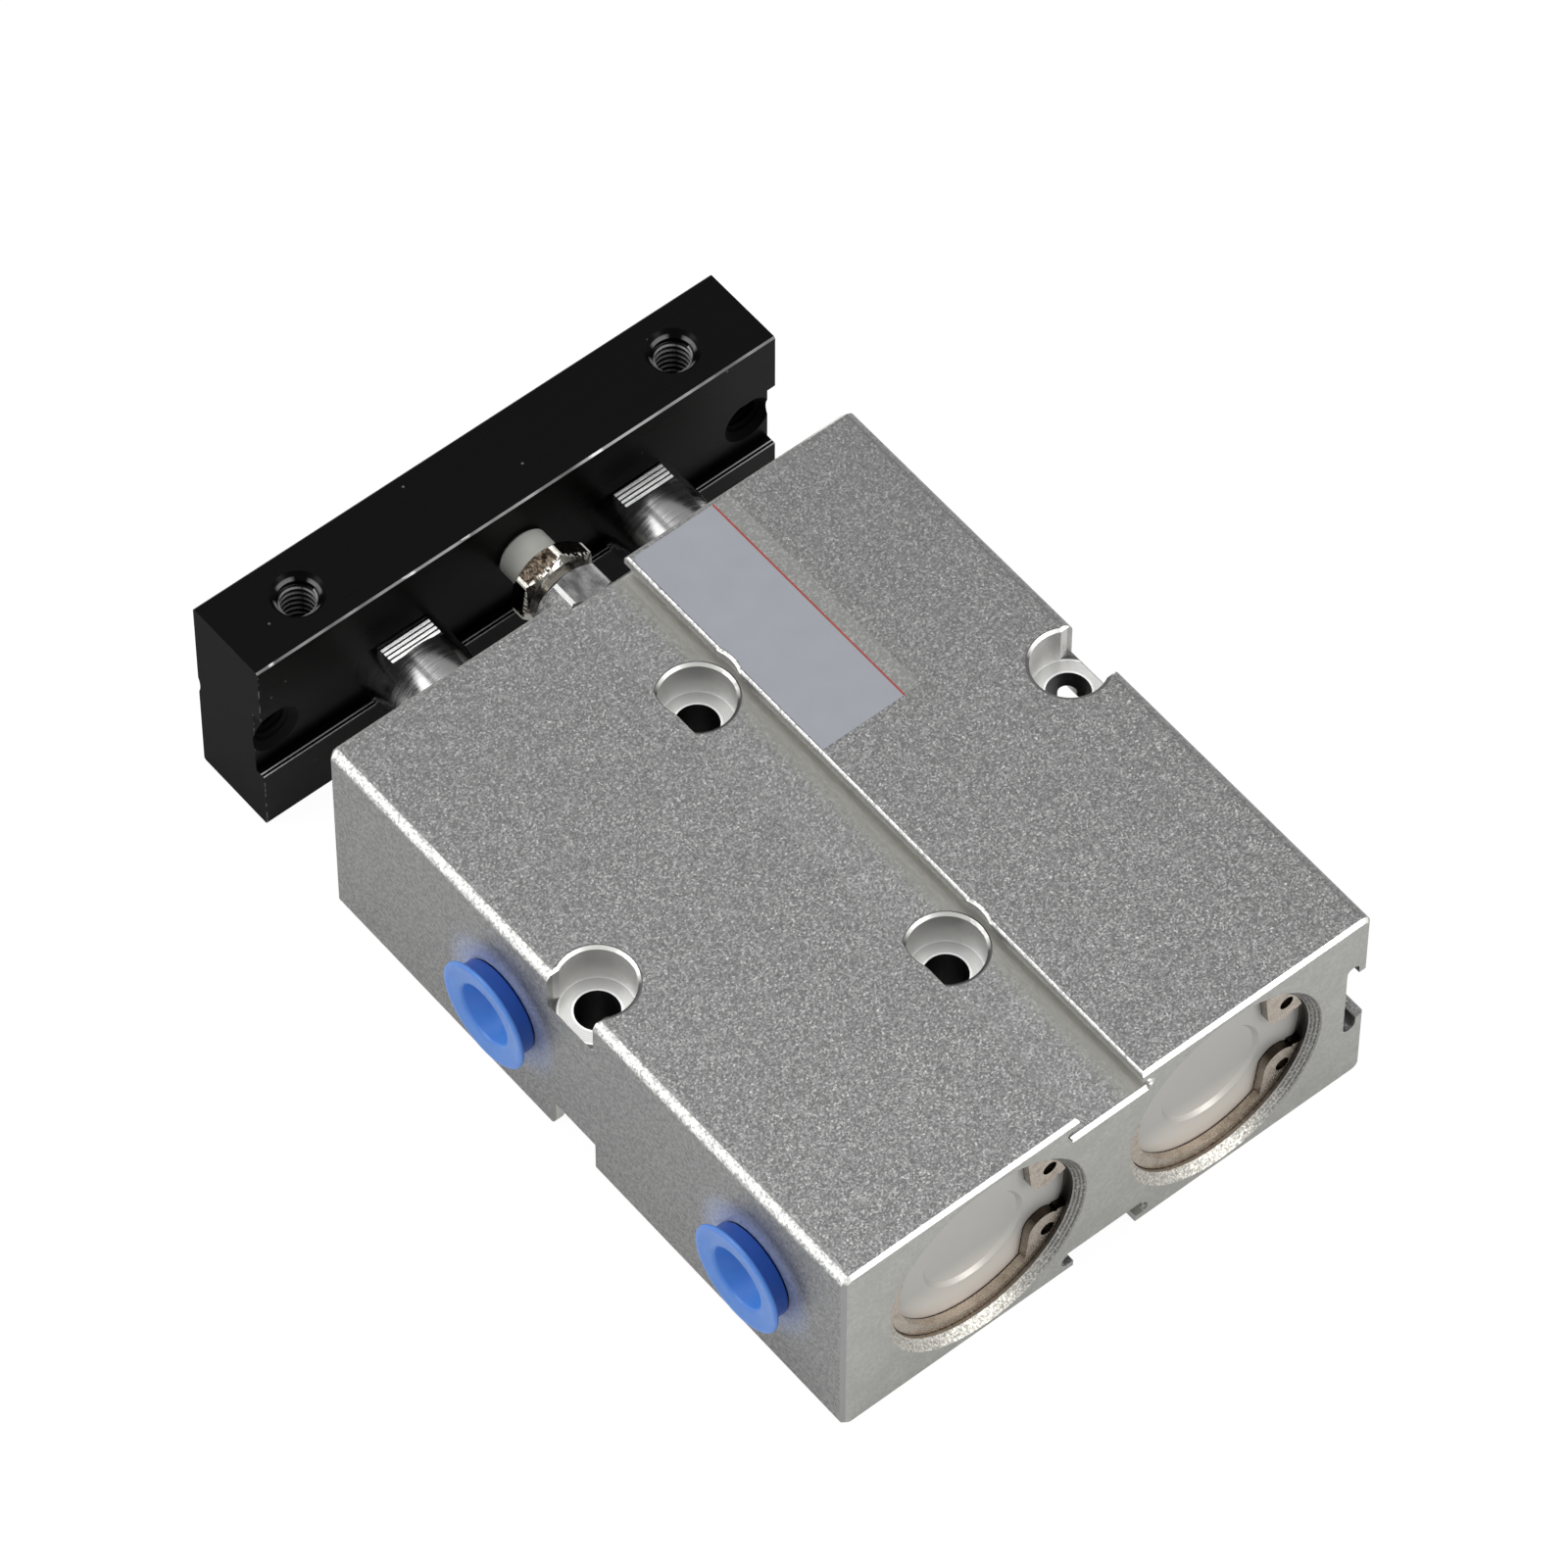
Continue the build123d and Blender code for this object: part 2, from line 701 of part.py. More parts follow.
# Retract stop
with BuildPart() as stop_lock_nut:
    hexagon(front_y, front_y + stop_nut_thickness, stop_across_flats, stop_nut_angle, 0, stop_lift)
    with BuildSketch(cross_plane(front_y + stop_nut_thickness)):
        with Locations((0, stop_lift)):
            Circle(stop_screw_diameter / 2 + running_clearance)
    extrude(amount=stop_nut_thickness, mode=Mode.SUBTRACT)
save(stop_lock_nut, "stop_lock_nut")

with BuildPart() as stop_screw:
    hexagon(stop_head_rear_y, stop_head_front_y, stop_across_flats, stop_head_angle, 0, stop_lift)
    shank_r = stop_screw_diameter / 2
    shank_tip_y = front_y - stop_screw_reach
    shank_profile = [
        (shank_tip_y, 0),
        (shank_tip_y, shank_r - thread_end_chamfer),
        (shank_tip_y + thread_end_chamfer, shank_r),
        (stop_head_rear_y, shank_r),
        (stop_head_rear_y, 0),
    ]
    turn(shank_profile, (0, 0, stop_lift))
    with BuildSketch(cross_plane(stop_head_front_y)):
        with Locations((0, stop_lift)):
            Circle(stop_stem_diameter / 2 + running_clearance)
    extrude(amount=stop_stem_length + touch_gap, mode=Mode.SUBTRACT)
save(stop_screw, "stop_screw")

with BuildPart() as stop_tip:
    tip_r = stop_tip_diameter / 2
    tip_profile = [
        (stop_head_front_y - stop_stem_length, 0),
        (stop_head_front_y - stop_stem_length, stop_stem_diameter / 2),
        (stop_head_front_y + touch_gap, stop_stem_diameter / 2),
        (stop_head_front_y + touch_gap, tip_r),
        (stop_tip_y - stop_tip_chamfer, tip_r),
        (stop_tip_y, tip_r - stop_tip_chamfer),
        (stop_tip_y, 0),
    ]
    turn(tip_profile, (0, 0, stop_lift))
save(stop_tip, "stop_tip")

# Port plugs: a dished flange on a hollow ribbed shank
for port_name, port_y in PORTS.items():
    shank_r = port_thread_diameter / 2 - running_clearance
    core_r = shank_r - plug_rib_height
    recess_r = plug_recess_diameter / 2
    rib_pitch = plug_shank_length / (plug_rib_count + 1)
    plug_profile = [
        (-plug_shank_length + plug_recess_floor, 0),
        (-plug_shank_length + plug_recess_floor, recess_r - plug_recess_draft),
        (plug_proud - plug_recess_draft, recess_r),
        (plug_proud, recess_r + plug_recess_draft),
        (plug_proud, plug_flange_diameter / 2),
        (plug_proud - plug_flange_thickness, plug_flange_diameter / 2),
        (plug_standoff, plug_neck_diameter / 2),
        (plug_standoff, core_r),
    ]
    for rib in range(1, plug_rib_count + 1):
        rib_s = -rib * rib_pitch
        plug_profile += [
            (rib_s + plug_rib_slope, core_r),
            (rib_s + plug_rib_crest, shank_r),
            (rib_s - plug_rib_slope, core_r),
        ]
    plug_profile += [(-plug_shank_length, core_r), (-plug_shank_length, 0)]
    with BuildPart() as port_plug:
        turn(plug_profile, (-body_width / 2, port_y, 0), (-1, 0, 0))
        rims = port_plug.edges().filter_by(GeomType.CIRCLE).filter_by(
            lambda edge: edge.radius > plug_flange_diameter / 2 - 0.01
        )
        fillet(rims, plug_rim_round)
    save(port_plug, f"port_plug_{port_name}")
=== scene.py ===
from math import acos, cos, degrees, pi, radians, sin

import bmesh
import bpy
from mathutils import Matrix, Vector

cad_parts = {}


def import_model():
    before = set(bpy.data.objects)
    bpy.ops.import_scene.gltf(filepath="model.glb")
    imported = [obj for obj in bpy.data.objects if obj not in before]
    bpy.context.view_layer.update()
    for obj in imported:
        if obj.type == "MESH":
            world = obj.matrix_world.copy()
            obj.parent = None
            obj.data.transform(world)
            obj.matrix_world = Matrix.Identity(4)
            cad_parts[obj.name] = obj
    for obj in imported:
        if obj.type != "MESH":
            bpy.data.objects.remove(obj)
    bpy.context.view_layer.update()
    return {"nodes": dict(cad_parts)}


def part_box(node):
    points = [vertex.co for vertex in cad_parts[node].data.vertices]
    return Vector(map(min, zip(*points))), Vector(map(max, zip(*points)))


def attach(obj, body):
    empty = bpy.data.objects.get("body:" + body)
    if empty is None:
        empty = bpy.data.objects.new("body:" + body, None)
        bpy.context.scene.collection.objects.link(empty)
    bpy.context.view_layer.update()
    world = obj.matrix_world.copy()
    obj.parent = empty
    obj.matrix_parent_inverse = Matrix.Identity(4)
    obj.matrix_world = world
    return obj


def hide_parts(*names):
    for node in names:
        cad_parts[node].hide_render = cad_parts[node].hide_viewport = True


# Twin-rod guided air cylinder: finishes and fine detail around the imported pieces. Metres.
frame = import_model()
nodes = frame["nodes"]
MM = 0.001

body_low, body_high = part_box("housing")
plate_low, plate_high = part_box("tool_plate")

# The screw cross of the body: two holes on the centre line, two at its sides
CENTRE_HOLE_Y = 18.5 * MM
SIDE_HOLE_X = 28.75 * MM
SIDE_HOLE_Y = -2.2 * MM
COUNTERBORE_R = 3.85 * MM
HOLE_EDGE_R = 2.3 * MM
screw_axes = [
    (0, CENTRE_HOLE_Y),
    (0, -CENTRE_HOLE_Y),
    (-SIDE_HOLE_X, SIDE_HOLE_Y),
    (SIDE_HOLE_X, SIDE_HOLE_Y),
]

# The grooves on top and below: half the width of their inside, and the band of each lip's edge
GROOVE_REACH = 5.5 * MM
LIP_INNER_X = 3.0 * MM
LIP_OUTER_X = 4.4 * MM

# The two bores as (x, z), with the cut edge round their mouths, and the air ports as (y, z)
BORE_X = 14.5 * MM
MOUTH_R = 11.0 * MM
MOUTH_EDGE = 1.05 * MM
RING_SEAT_Y = 39.9 * MM
bore_axes = [(-BORE_X, 0), (BORE_X, 0)]
port_axes = [(8.3 * MM, 0), (-29.4 * MM, 0)]

# The tapped holes of the plate, two from top to bottom and two along the rods: core and mouth
CROSS_HOLE_X = 23.0 * MM
plate_middle_y = (plate_low.y + plate_high.y) / 2
cross_axes = [(-CROSS_HOLE_X, plate_middle_y), (CROSS_HOLE_X, plate_middle_y)]
FACE_HOLE_X = 29.2 * MM
face_axes = [(-FACE_HOLE_X, 0), (FACE_HOLE_X, 0)]
HOLE_R = 2.1 * MM
HOLE_MOUTH_R = 2.9 * MM

# The stop screw's axis as (x, z), radii just inside its flats and corners, its head's two ends
stop_axes = [(0, 5.1 * MM)]
HEX_INNER_R = 3.9 * MM
HEX_CORNER_R = 4.44 * MM
HEAD_REAR_Y = 39.4 * MM
HEAD_FRONT_Y = 42.05 * MM

# A port plug: how far it stands out, its radii, and the depths of its recess and its shank
PLUG_PROUD = 2.4 * MM
PLUG_FLANGE_R = 6.0 * MM
PLUG_NECK_R = 5.1 * MM
PLUG_RECESS_R = 3.4 * MM
PLUG_RECESS_FLOOR_R = 2.6 * MM
PLUG_RECESS_DEPTH = 4.6 * MM
PLUG_SHANK_R = 4.0 * MM
PLUG_SHANK_DEPTH = 5.6 * MM

# The nameplate's printed line and right edge
line_x = 14.2 * MM
film_right = 16.2 * MM


# Shader helpers

def srgb(red, green, blue):
    """A colour as it shows on the screen, 0 to 255, in the linear values that shaders take."""
    def linear(value):
        share = value / 255
        return share / 12.92 if share <= 0.04045 else ((share + 0.055) / 1.055) ** 2.4
    return (linear(red), linear(green), linear(blue), 1.0)


def grey(value):
    return srgb(value, value, value)


class Look:
    """One procedural material: its Principled shader and the nodes that feed it."""

    def __init__(self, name, colour, metallic, roughness, **fixed):
        self.material = bpy.data.materials.new(name)
        self.material.use_nodes = True
        self.tree = self.material.node_tree
        self.shader = self.tree.nodes["Principled BSDF"]
        self.place = self.node("ShaderNodeTexCoord").outputs["Object"]
        self.shader.inputs["Base Color"].default_value = colour
        self.shader.inputs["Metallic"].default_value = metallic
        self.shader.inputs["Roughness"].default_value = roughness
        for socket, value in fixed.items():
            self.shader.inputs[socket.replace("_", " ")].default_value = value

    def node(self, kind, inputs=None, **settings):
        """A new node with these settings. Each input is a value or another node's output."""
        made = self.tree.nodes.new(kind)
        for key, value in settings.items():
            setattr(made, key, value)
        for key, value in (inputs or {}).items():
            self.feed(made.inputs[key], value)
        return made

    def feed(self, socket, value):
        if isinstance(value, bpy.types.NodeSocket):
            self.tree.links.new(value, socket)
        else:
            socket.default_value = value

    def drive(self, socket, value):
        """Feed one of the shader's own sockets."""
        self.feed(self.shader.inputs[socket], value)

    def maths(self, operation, first, second=0.5):
        return self.node("ShaderNodeMath", {0: first, 1: second}, operation=operation).outputs[0]

    def vector(self, operation, inputs):
        return self.node("ShaderNodeVectorMath", inputs, operation=operation).outputs[0]

    def span(self, value, low, high, to_low=0.0, to_high=1.0):
        """Carry a value from one range to another, held at its ends."""
        made = self.node(
            "ShaderNodeMapRange",
            {"Value": value, "From Min": low, "From Max": high, "To Min": to_low, "To Max": to_high},
        )
        return made.outputs["Result"]

    def mix(self, share, first, second):
        """A colour between two others."""
        made = self.node("ShaderNodeMix", data_type="RGBA")
        self.feed(made.inputs["Factor"], share)
        self.feed(made.inputs[6], first)
        self.feed(made.inputs[7], second)
        return made.outputs[2]

    def stretched(self, factors):
        """Object coordinates, scaled by a factor along each axis."""
        return self.node("ShaderNodeMapping", {"Vector": self.place, "Scale": factors}).outputs[0]

    def noise(self, size, detail=2.0, stretch=(1, 1, 1), roughness=0.5):
        """Noise whose features are about this size, in metres."""
        made = self.node(
            "ShaderNodeTexNoise",
            {"Vector": self.stretched(stretch), "Scale": 1 / size, "Detail": detail, "Roughness": roughness},
        )
        return made.outputs["Fac"]

    def cells(self, size, output="Color"):
        """Cells of about this size, in metres, each with its own value."""
        return self.node("ShaderNodeTexVoronoi", {"Vector": self.place, "Scale": 1 / size}).outputs[output]

    def parts(self, vector):
        """The three numbers of a vector."""
        return self.node("ShaderNodeSeparateXYZ", {0: vector}).outputs

    def normal(self):
        """The surface's direction, as its own object sees it."""
        world = self.node("ShaderNodeNewGeometry").outputs["Normal"]
        turned = self.node(
            "ShaderNodeVectorTransform",
            {0: world},
            vector_type="NORMAL",
            convert_from="WORLD",
            convert_to="OBJECT",
        )
        return self.parts(turned.outputs[0])

    def bump(self, height, depth):
        """Relief from a height of 0 to 1, this deep in metres."""
        return self.node("ShaderNodeBump", {"Height": height, "Distance": depth, "Strength": 1.0}).outputs[0]

    def facets(self, size, lean):
        """A surface of tiny facets, each of which leans its own way."""
        world = self.node("ShaderNodeNewGeometry").outputs["Normal"]
        tilt = self.vector("SUBTRACT", {0: self.cells(size), 1: (0.5, 0.5, 0.5)})
        scaled = self.vector("SCALE", {0: tilt, "Scale": lean})
        return self.vector("NORMALIZE", {0: self.vector("ADD", {0: world, 1: scaled})})

    def band(self, value, low, high, soft):
        """1 where a value lies between two others, 0 outside, with soft ends."""
        rise = self.span(value, low - soft, low)
        fall = self.span(value, high, high + soft, 1.0, 0.0)
        return self.maths("MULTIPLY", rise, fall)

    def both(self, *shares):
        """The product of several shares."""
        total = shares[0]
        for share in shares[1:]:
            total = self.maths("MULTIPLY", total, share)
        return total

    def zigzag(self, value, pitch):
        """Rise from 0 to 1 over one pitch of a value, and fall back over the next."""
        return self.maths("DIVIDE", self.maths("PINGPONG", value, pitch), pitch)

    def less(self, share, amount):
        """1, less this amount of a share."""
        return self.maths("SUBTRACT", 1.0, self.maths("MULTIPLY", share, amount))

    def beside_rod(self, x):
        """How far to the right of its own rod's axis a point lies."""
        return self.maths("SUBTRACT", x, self.maths("MULTIPLY", self.maths("SIGN", x), BORE_X))

    def distance(self, axes, across=0, along=1):
        """How far a point lies from the nearest of some axes, in the plane of two coordinates."""
        parts = self.parts(self.place)
        flat = self.node("ShaderNodeCombineXYZ", {0: parts[across], 1: parts[along]}).outputs[0]
        nearest = 1.0
        for first, second in axes:
            gap = self.node("ShaderNodeVectorMath", {0: flat, 1: (first, second, 0)}, operation="DISTANCE")
            nearest = self.maths("MINIMUM", gap.outputs["Value"], nearest)
        return nearest

    def within(self, axes, radius, soft):
        """1 inside upright cylinders of this radius round (x, y) axes, 0 outside."""
        return self.span(self.distance(axes), radius, radius + soft, 1.0, 0.0)

    def within_bores(self, radius):
        """1 inside this radius round either rod's axis, 0 outside."""
        return self.span(self.distance(bore_axes, 0, 2), radius, radius + 0.05 * MM, 1.0, 0.0)


# Materials

def blasted_aluminium():
    """Clear-anodised aluminium: blasted top and bottom, smooth sides, machined ends and holes."""
    look = Look("blasted_aluminium", grey(172), 1.0, 0.44)
    lean_x, lean_y, lean_z = look.normal()
    across, along, up = (look.maths("ABSOLUTE", part) for part in (lean_x, lean_y, lean_z))
    x, y, z = look.parts(look.place)
    side = look.maths("ABSOLUTE", x)
    height = look.maths("ABSOLUTE", z)
    flat = look.span(up, 0.90, 0.99)
    end_face = look.span(along, 0.90, 0.99)
    lengthwise = look.span(along, 0.2, 0.3, 1.0, 0.0)
    end_edge = look.band(along, 0.45, 0.90, 0.1)
    long_edge = look.both(look.band(across, 0.35, 0.93, 0.1), lengthwise)
    upward = look.span(up, 0.3, 0.5)
    inward = look.span(side, body_high.x - 0.1 * MM, body_high.x - 0.05 * MM, 1.0, 0.0)
    bored = look.both(look.within(screw_axes, COUNTERBORE_R + 0.4 * MM, 0.05 * MM), inward)
    through_hole_shade = look.both(look.within(screw_axes, HOLE_EDGE_R, 0.05 * MM), look.span(up, 0.5, 0.6, 1.0, 0.0))
    grooved = look.both(
        look.span(height, body_high.z - 0.5 * MM, body_high.z - 0.3 * MM, 1.0, 0.0),
        look.span(side, GROOVE_REACH, GROOVE_REACH + 0.2 * MM, 1.0, 0.0),
        lengthwise,
    )
    beside_lip = look.both(grooved, look.span(x, 1.2 * MM, LIP_INNER_X))
    left_lip_highlight = look.both(long_edge, look.band(x, -LIP_OUTER_X, -LIP_INNER_X, 0.1 * MM))
    right_lip = look.both(
        long_edge,
        look.band(x, LIP_INNER_X, LIP_OUTER_X, 0.1 * MM),
        look.span(z, body_high.z - 0.15 * MM, body_high.z - 0.11 * MM, 1.0, 0.0),
    )

    # Blasted faces sparkle, the extruded sides are plain, and the ends are sawn and faced
    flecks = look.span(look.noise(0.21 * MM, 2, roughness=0.6), 0.42, 0.72)
    cloud = look.noise(9 * MM, 3)
    near_label = look.both(
        look.band(x, line_x - 1 * MM, line_x + 0.5 * MM, 3.0 * MM),
        look.band(y, 4.0 * MM, 40 * MM, 1.0 * MM),
        0.7,
    )
    sparkle = look.both(flecks, flecks)
    blasted = look.mix(sparkle, grey(129), srgb(208, 208, 206))
    blasted = look.mix(look.span(y, -30 * MM, 30 * MM, 0.0, 0.30), blasted, grey(137))
    # Painted light: the groove is lightened against its own shade
    blasted = look.mix(look.maths("MULTIPLY", grooved, 0.3), blasted, grey(168))
    front_right = look.both(look.span(x, 8 * MM, 28 * MM), look.span(y, -5 * MM, 30 * MM), 0.4)
    blasted = look.mix(front_right, blasted, grey(134))
    blasted = look.mix(look.maths("MULTIPLY", look.span(cloud, 0.35, 0.65), 0.12), blasted, grey(132))
    blasted = look.mix(near_label, blasted, srgb(140, 140, 137))
    # Painted reflection: a blue halo of the plug on the smooth side round each port, partly non-metallic so
    # that it takes the lamps' light
    plug_reflection_halo = look.both(
        look.span(look.distance(port_axes, 1, 2), 5.6 * MM, 8.2 * MM, 1.0, 0.0),
        look.span(x, body_low.x + 0.05 * MM, body_low.x + 0.1 * MM, 1.0, 0.0),
    )
    smooth = look.mix(look.noise(0.2 * MM, 2), grey(100), grey(106))
    smooth = look.mix(plug_reflection_halo, smooth, srgb(126, 144, 188))
    speck = look.span(look.noise(0.35 * MM, 3), 0.35, 0.65)
    cut = look.mix(speck, srgb(172, 172, 168), srgb(186, 186, 182))
    cut = look.mix(look.span(look.noise(3 * MM, 3), 0.4, 0.6, 0.0, 0.35), cut, srgb(168, 168, 162))

    # Counterbores: painted shade on the wall, which lightens downwards and darkens where it faces left; a
    # floor with turning rings; painted highlights on two rings of the floor; and a top rim with a painted
    # highlight on its far side and painted shade on its near side
    depth = look.span(height, body_high.z - 2.9 * MM, body_high.z - 7.0 * MM)
    lit = look.span(lean_x, -0.9, 0.5)
    wall = look.mix(depth, srgb(226, 225, 223), srgb(252, 252, 250))
    wall = look.mix(lit, look.mix(0.25, wall, grey(140)), wall)
    reach = look.distance(screw_axes)
    turned = look.mix(look.zigzag(reach, 0.11 * MM), srgb(206, 206, 204), srgb(230, 230, 228))
    floor_ring_highlights = look.maths(
        "MAXIMUM",
        look.band(reach, COUNTERBORE_R - 0.16 * MM, COUNTERBORE_R, 0.05 * MM),
        look.band(reach, HOLE_EDGE_R - 0.1 * MM, HOLE_EDGE_R + 0.12 * MM, 0.05 * MM),
    )
    turned = look.mix(floor_ring_highlights, turned, grey(250))
    hole = look.mix(flat, wall, turned)
    rim = look.both(look.span(reach, COUNTERBORE_R - 0.02 * MM, COUNTERBORE_R + 0.02 * MM), upward)
    far_rim_highlight = look.span(look.maths("ADD", lean_x, lean_y), -0.35, -0.05, 1.0, 0.0)
    hole = look.mix(rim, hole, look.mix(far_rim_highlight, grey(104), srgb(244, 244, 240)))

    # Long edges are rounded, with a grainy painted highlight; the bore mouths are speckled, with chatter at
    # their right
    edge_grain = look.span(look.noise(0.3 * MM, 3), 0.35, 0.62)
    long_edge_highlight = look.mix(edge_grain, grey(164), srgb(240, 240, 236))
    rightward = look.span(look.beside_rod(x), 3.0 * MM, 8.5 * MM)
    bore_reach = look.distance(bore_axes, 0, 2)
    mouth = look.both(end_edge, look.within_bores(MOUTH_R + MOUTH_EDGE))
    chatter = look.span(look.noise(0.22 * MM, 3), 0.38, 0.62)
    lines = look.zigzag(bore_reach, 0.13 * MM)
    speckled = look.mix(chatter, srgb(164, 161, 153), srgb(224, 222, 215))
    scored = look.mix(lines, srgb(84, 83, 80), srgb(158, 157, 153))
    scored = look.mix(look.span(chatter, 0.6, 1.0, 0.0, 0.6), scored, grey(190))
    rough_cut = look.mix(rightward, speckled, scored)
    bore_wall = look.both(look.within_bores(MOUTH_R + 0.6 * MM), lengthwise, inward)
    bore_lit = look.mix(rightward, srgb(184, 172, 158), srgb(84, 80, 76))

    colour = look.mix(flat, smooth, blasted)
    colour = look.mix(beside_lip, colour, srgb(154, 154, 149))
    # Painted light: the groove floor and wall under the right lip are lightened against the lip's shade
    lit_under_lip = look.both(grooved, look.span(x, LIP_INNER_X, LIP_INNER_X + 0.9 * MM))
    colour = look.mix(lit_under_lip, colour, srgb(214, 213, 208))
    colour = look.mix(end_face, colour, cut)
    # Painted highlight on the upward end chamfers; the other end chamfers are plain grey
    end_edge_highlight = look.mix(edge_grain, srgb(222, 222, 218), srgb(250, 250, 247))
    colour = look.mix(end_edge, colour, look.mix(upward, grey(158), end_edge_highlight))
    colour = look.mix(long_edge, colour, long_edge_highlight)
    # The right long edges get a plain grainy tone instead of the painted highlight
    right_edge = look.both(long_edge, look.span(x, body_high.x - 4 * MM, body_high.x - 3 * MM))
    colour = look.mix(right_edge, colour, look.mix(edge_grain, grey(124), grey(158)))
    # Painted highlight on the left lip's edge
    colour = look.mix(left_lip_highlight, colour, look.mix(flecks, grey(196), grey(228)))
    colour = look.mix(right_lip, colour, grey(150))
    colour = look.mix(bored, colour, hole)
    colour = look.mix(mouth, colour, rough_cut)
    colour = look.mix(bore_wall, colour, bore_lit)
    # Painted shade on the walls of the screw holes below the counterbores
    colour = look.mix(through_hole_shade, colour, grey(78))
    look.drive("Base Color", colour)

    plain = look.both(flat, look.maths("SUBTRACT", 1.0, look.maths("MAXIMUM", bored, beside_lip)))
    rough = look.span(look.noise(0.2 * MM, 2), 0.3, 0.7, 0.42, 0.50)
    look.drive("Roughness", rough)
    # The painted plug reflection is mostly non-metallic
    look.drive("Metallic", look.less(plug_reflection_halo, 0.85))
    uneven = look.maths("MULTIPLY", look.maths("MAXIMUM", long_edge, mouth), 0.25)
    lean = look.maths("ADD", look.maths("MULTIPLY", plain, 0.22), look.maths("ADD", uneven, 0.04))
    look.drive("Normal", look.facets(0.20 * MM, lean))
    return look.material


def black_anodised():
    """Black-anodised aluminium bar: faint drawing lines along its length and a few dust specks."""
    look = Look("black_anodised", grey(20), 0.0, 0.28, Specular_IOR_Level=0.06)
    lean = look.normal()
    across, along, up = (look.maths("ABSOLUTE", part) for part in lean)
    x, y, z = look.parts(look.place)
    height = look.maths("ABSOLUTE", z)
    lines = look.noise(0.35 * MM, 4, stretch=(0.02, 1, 1))
    colour = look.mix(look.span(lines, 0.3, 0.7), grey(7), grey(11))
    colour = look.mix(look.both(look.span(up, 0.9, 0.99), look.span(z, 0, 1 * MM)), colour, grey(12))
    colour = look.mix(look.span(along, 0.9, 0.99), colour, grey(4))
    dust = look.span(look.cells(4.0 * MM, "Distance"), 0.0, 0.045, 1.0, 0.0)
    colour = look.mix(dust, colour, grey(120))

    # Painted highlight with some wear along the top rear edge, painted glints on the channel's lower lip,
    # and a broken lighter line down the left rear corner
    rear = look.span(y, plate_low.y + 0.22 * MM, plate_low.y + 0.26 * MM, 1.0, 0.0)
    top_edge = look.both(rear, look.span(height, plate_high.z - 0.26 * MM, plate_high.z - 0.22 * MM))
    top_edge = look.both(top_edge, look.band(along, 0.4, 0.9, 0.1))
    highlight_beads = look.span(look.noise(2.2 * MM, 1), 0.62, 0.70)
    worn_edge_highlight = look.mix(look.span(look.noise(5 * MM, 2), 0.35, 0.65), grey(104), grey(176))
    colour = look.mix(top_edge, colour, look.mix(highlight_beads, worn_edge_highlight, grey(255)))
    # Painted glints: two thin light lines along the channel's lower lip
    ledge = look.both(look.span(up, 0.9, 0.99), look.span(height, 5.5 * MM, 5.6 * MM, 1.0, 0.0))
    lip_glint_lines = look.maths(
        "MAXIMUM",
        look.span(y, plate_low.y + 0.12 * MM, plate_low.y + 0.15 * MM, 1.0, 0.0),
        look.band(y, plate_low.y + 0.42 * MM, plate_low.y + 0.54 * MM, 0.03 * MM),
    )
    colour = look.mix(look.both(ledge, lip_glint_lines), colour, grey(200))
    at_left = look.span(x, plate_low.x + 0.1 * MM, plate_low.x + 0.14 * MM, 1.0, 0.0)
    corner = look.both(look.span(along, 0.9, 0.99), at_left)
    line_breaks = look.span(look.noise(1.0 * MM, 3), 0.50, 0.56)
    colour = look.mix(look.both(corner, line_breaks), colour, grey(110))

    # Tapped holes: the far wall stays dark between two lit sectors
    spread = look.maths("SQRT", look.maths("ADD", look.both(across, across), look.both(along, along)))
    square_on = look.maths("DIVIDE", look.maths("MAXIMUM", across, along), spread)
    cross_reach = look.distance(cross_axes)
    lit_flank = look.both(
        look.span(square_on, 0.86, 0.95),
        look.span(lean[2], 0.25, 0.35),
        look.span(cross_reach, HOLE_R + 0.24 * MM, HOLE_R + 0.34 * MM, 1.0, 0.0),
    )
    in_thread = look.span(cross_reach, HOLE_R - 0.05 * MM, HOLE_R + 0.02 * MM, 1.0, 0.0)
    crest = look.span(cross_reach, HOLE_R - 0.22 * MM, HOLE_R - 0.14 * MM, 1.0, 0.0)
    striped = look.mix(crest, grey(4), look.mix(look.span(square_on, 0.72, 0.95), grey(80), grey(150)))
    tapped = look.mix(in_thread, look.mix(lit_flank, grey(3), grey(112)), striped)
    in_cross_hole = look.span(cross_reach, HOLE_MOUTH_R, HOLE_MOUTH_R + 0.05 * MM, 1.0, 0.0)
    colour = look.mix(look.both(in_cross_hole, look.span(up, 0.9, 0.99, 1.0, 0.0)), colour, tapped)
    # Painted shade fills the face holes, grey in the left one and black in the right, with a rougher surface
    face_reach = look.distance(face_axes, 0, 2)
    deep = look.both(
        look.span(face_reach, HOLE_MOUTH_R, HOLE_MOUTH_R + 0.05 * MM, 1.0, 0.0),
        look.span(along, 0.9, 0.99, 1.0, 0.0),
        look.span(x, plate_low.x + 0.1 * MM, plate_low.x + 0.2 * MM),
    )
    colour = look.mix(deep, colour, look.mix(look.span(x, 0, 1 * MM), grey(30), grey(4)))
    look.drive("Base Color", colour)
    sawn = look.span(across, 0.8, 0.99)
    drawn = look.span(lines, 0.2, 0.8, 0.26, 0.34)
    rough = look.maths("MAXIMUM", drawn, look.maths("MULTIPLY", sawn, 0.62))
    look.drive("Roughness", look.maths("MAXIMUM", rough, look.maths("MULTIPLY", deep, 0.8)))
    look.drive("Normal", look.bump(lines, 0.002 * MM))
    return look.material


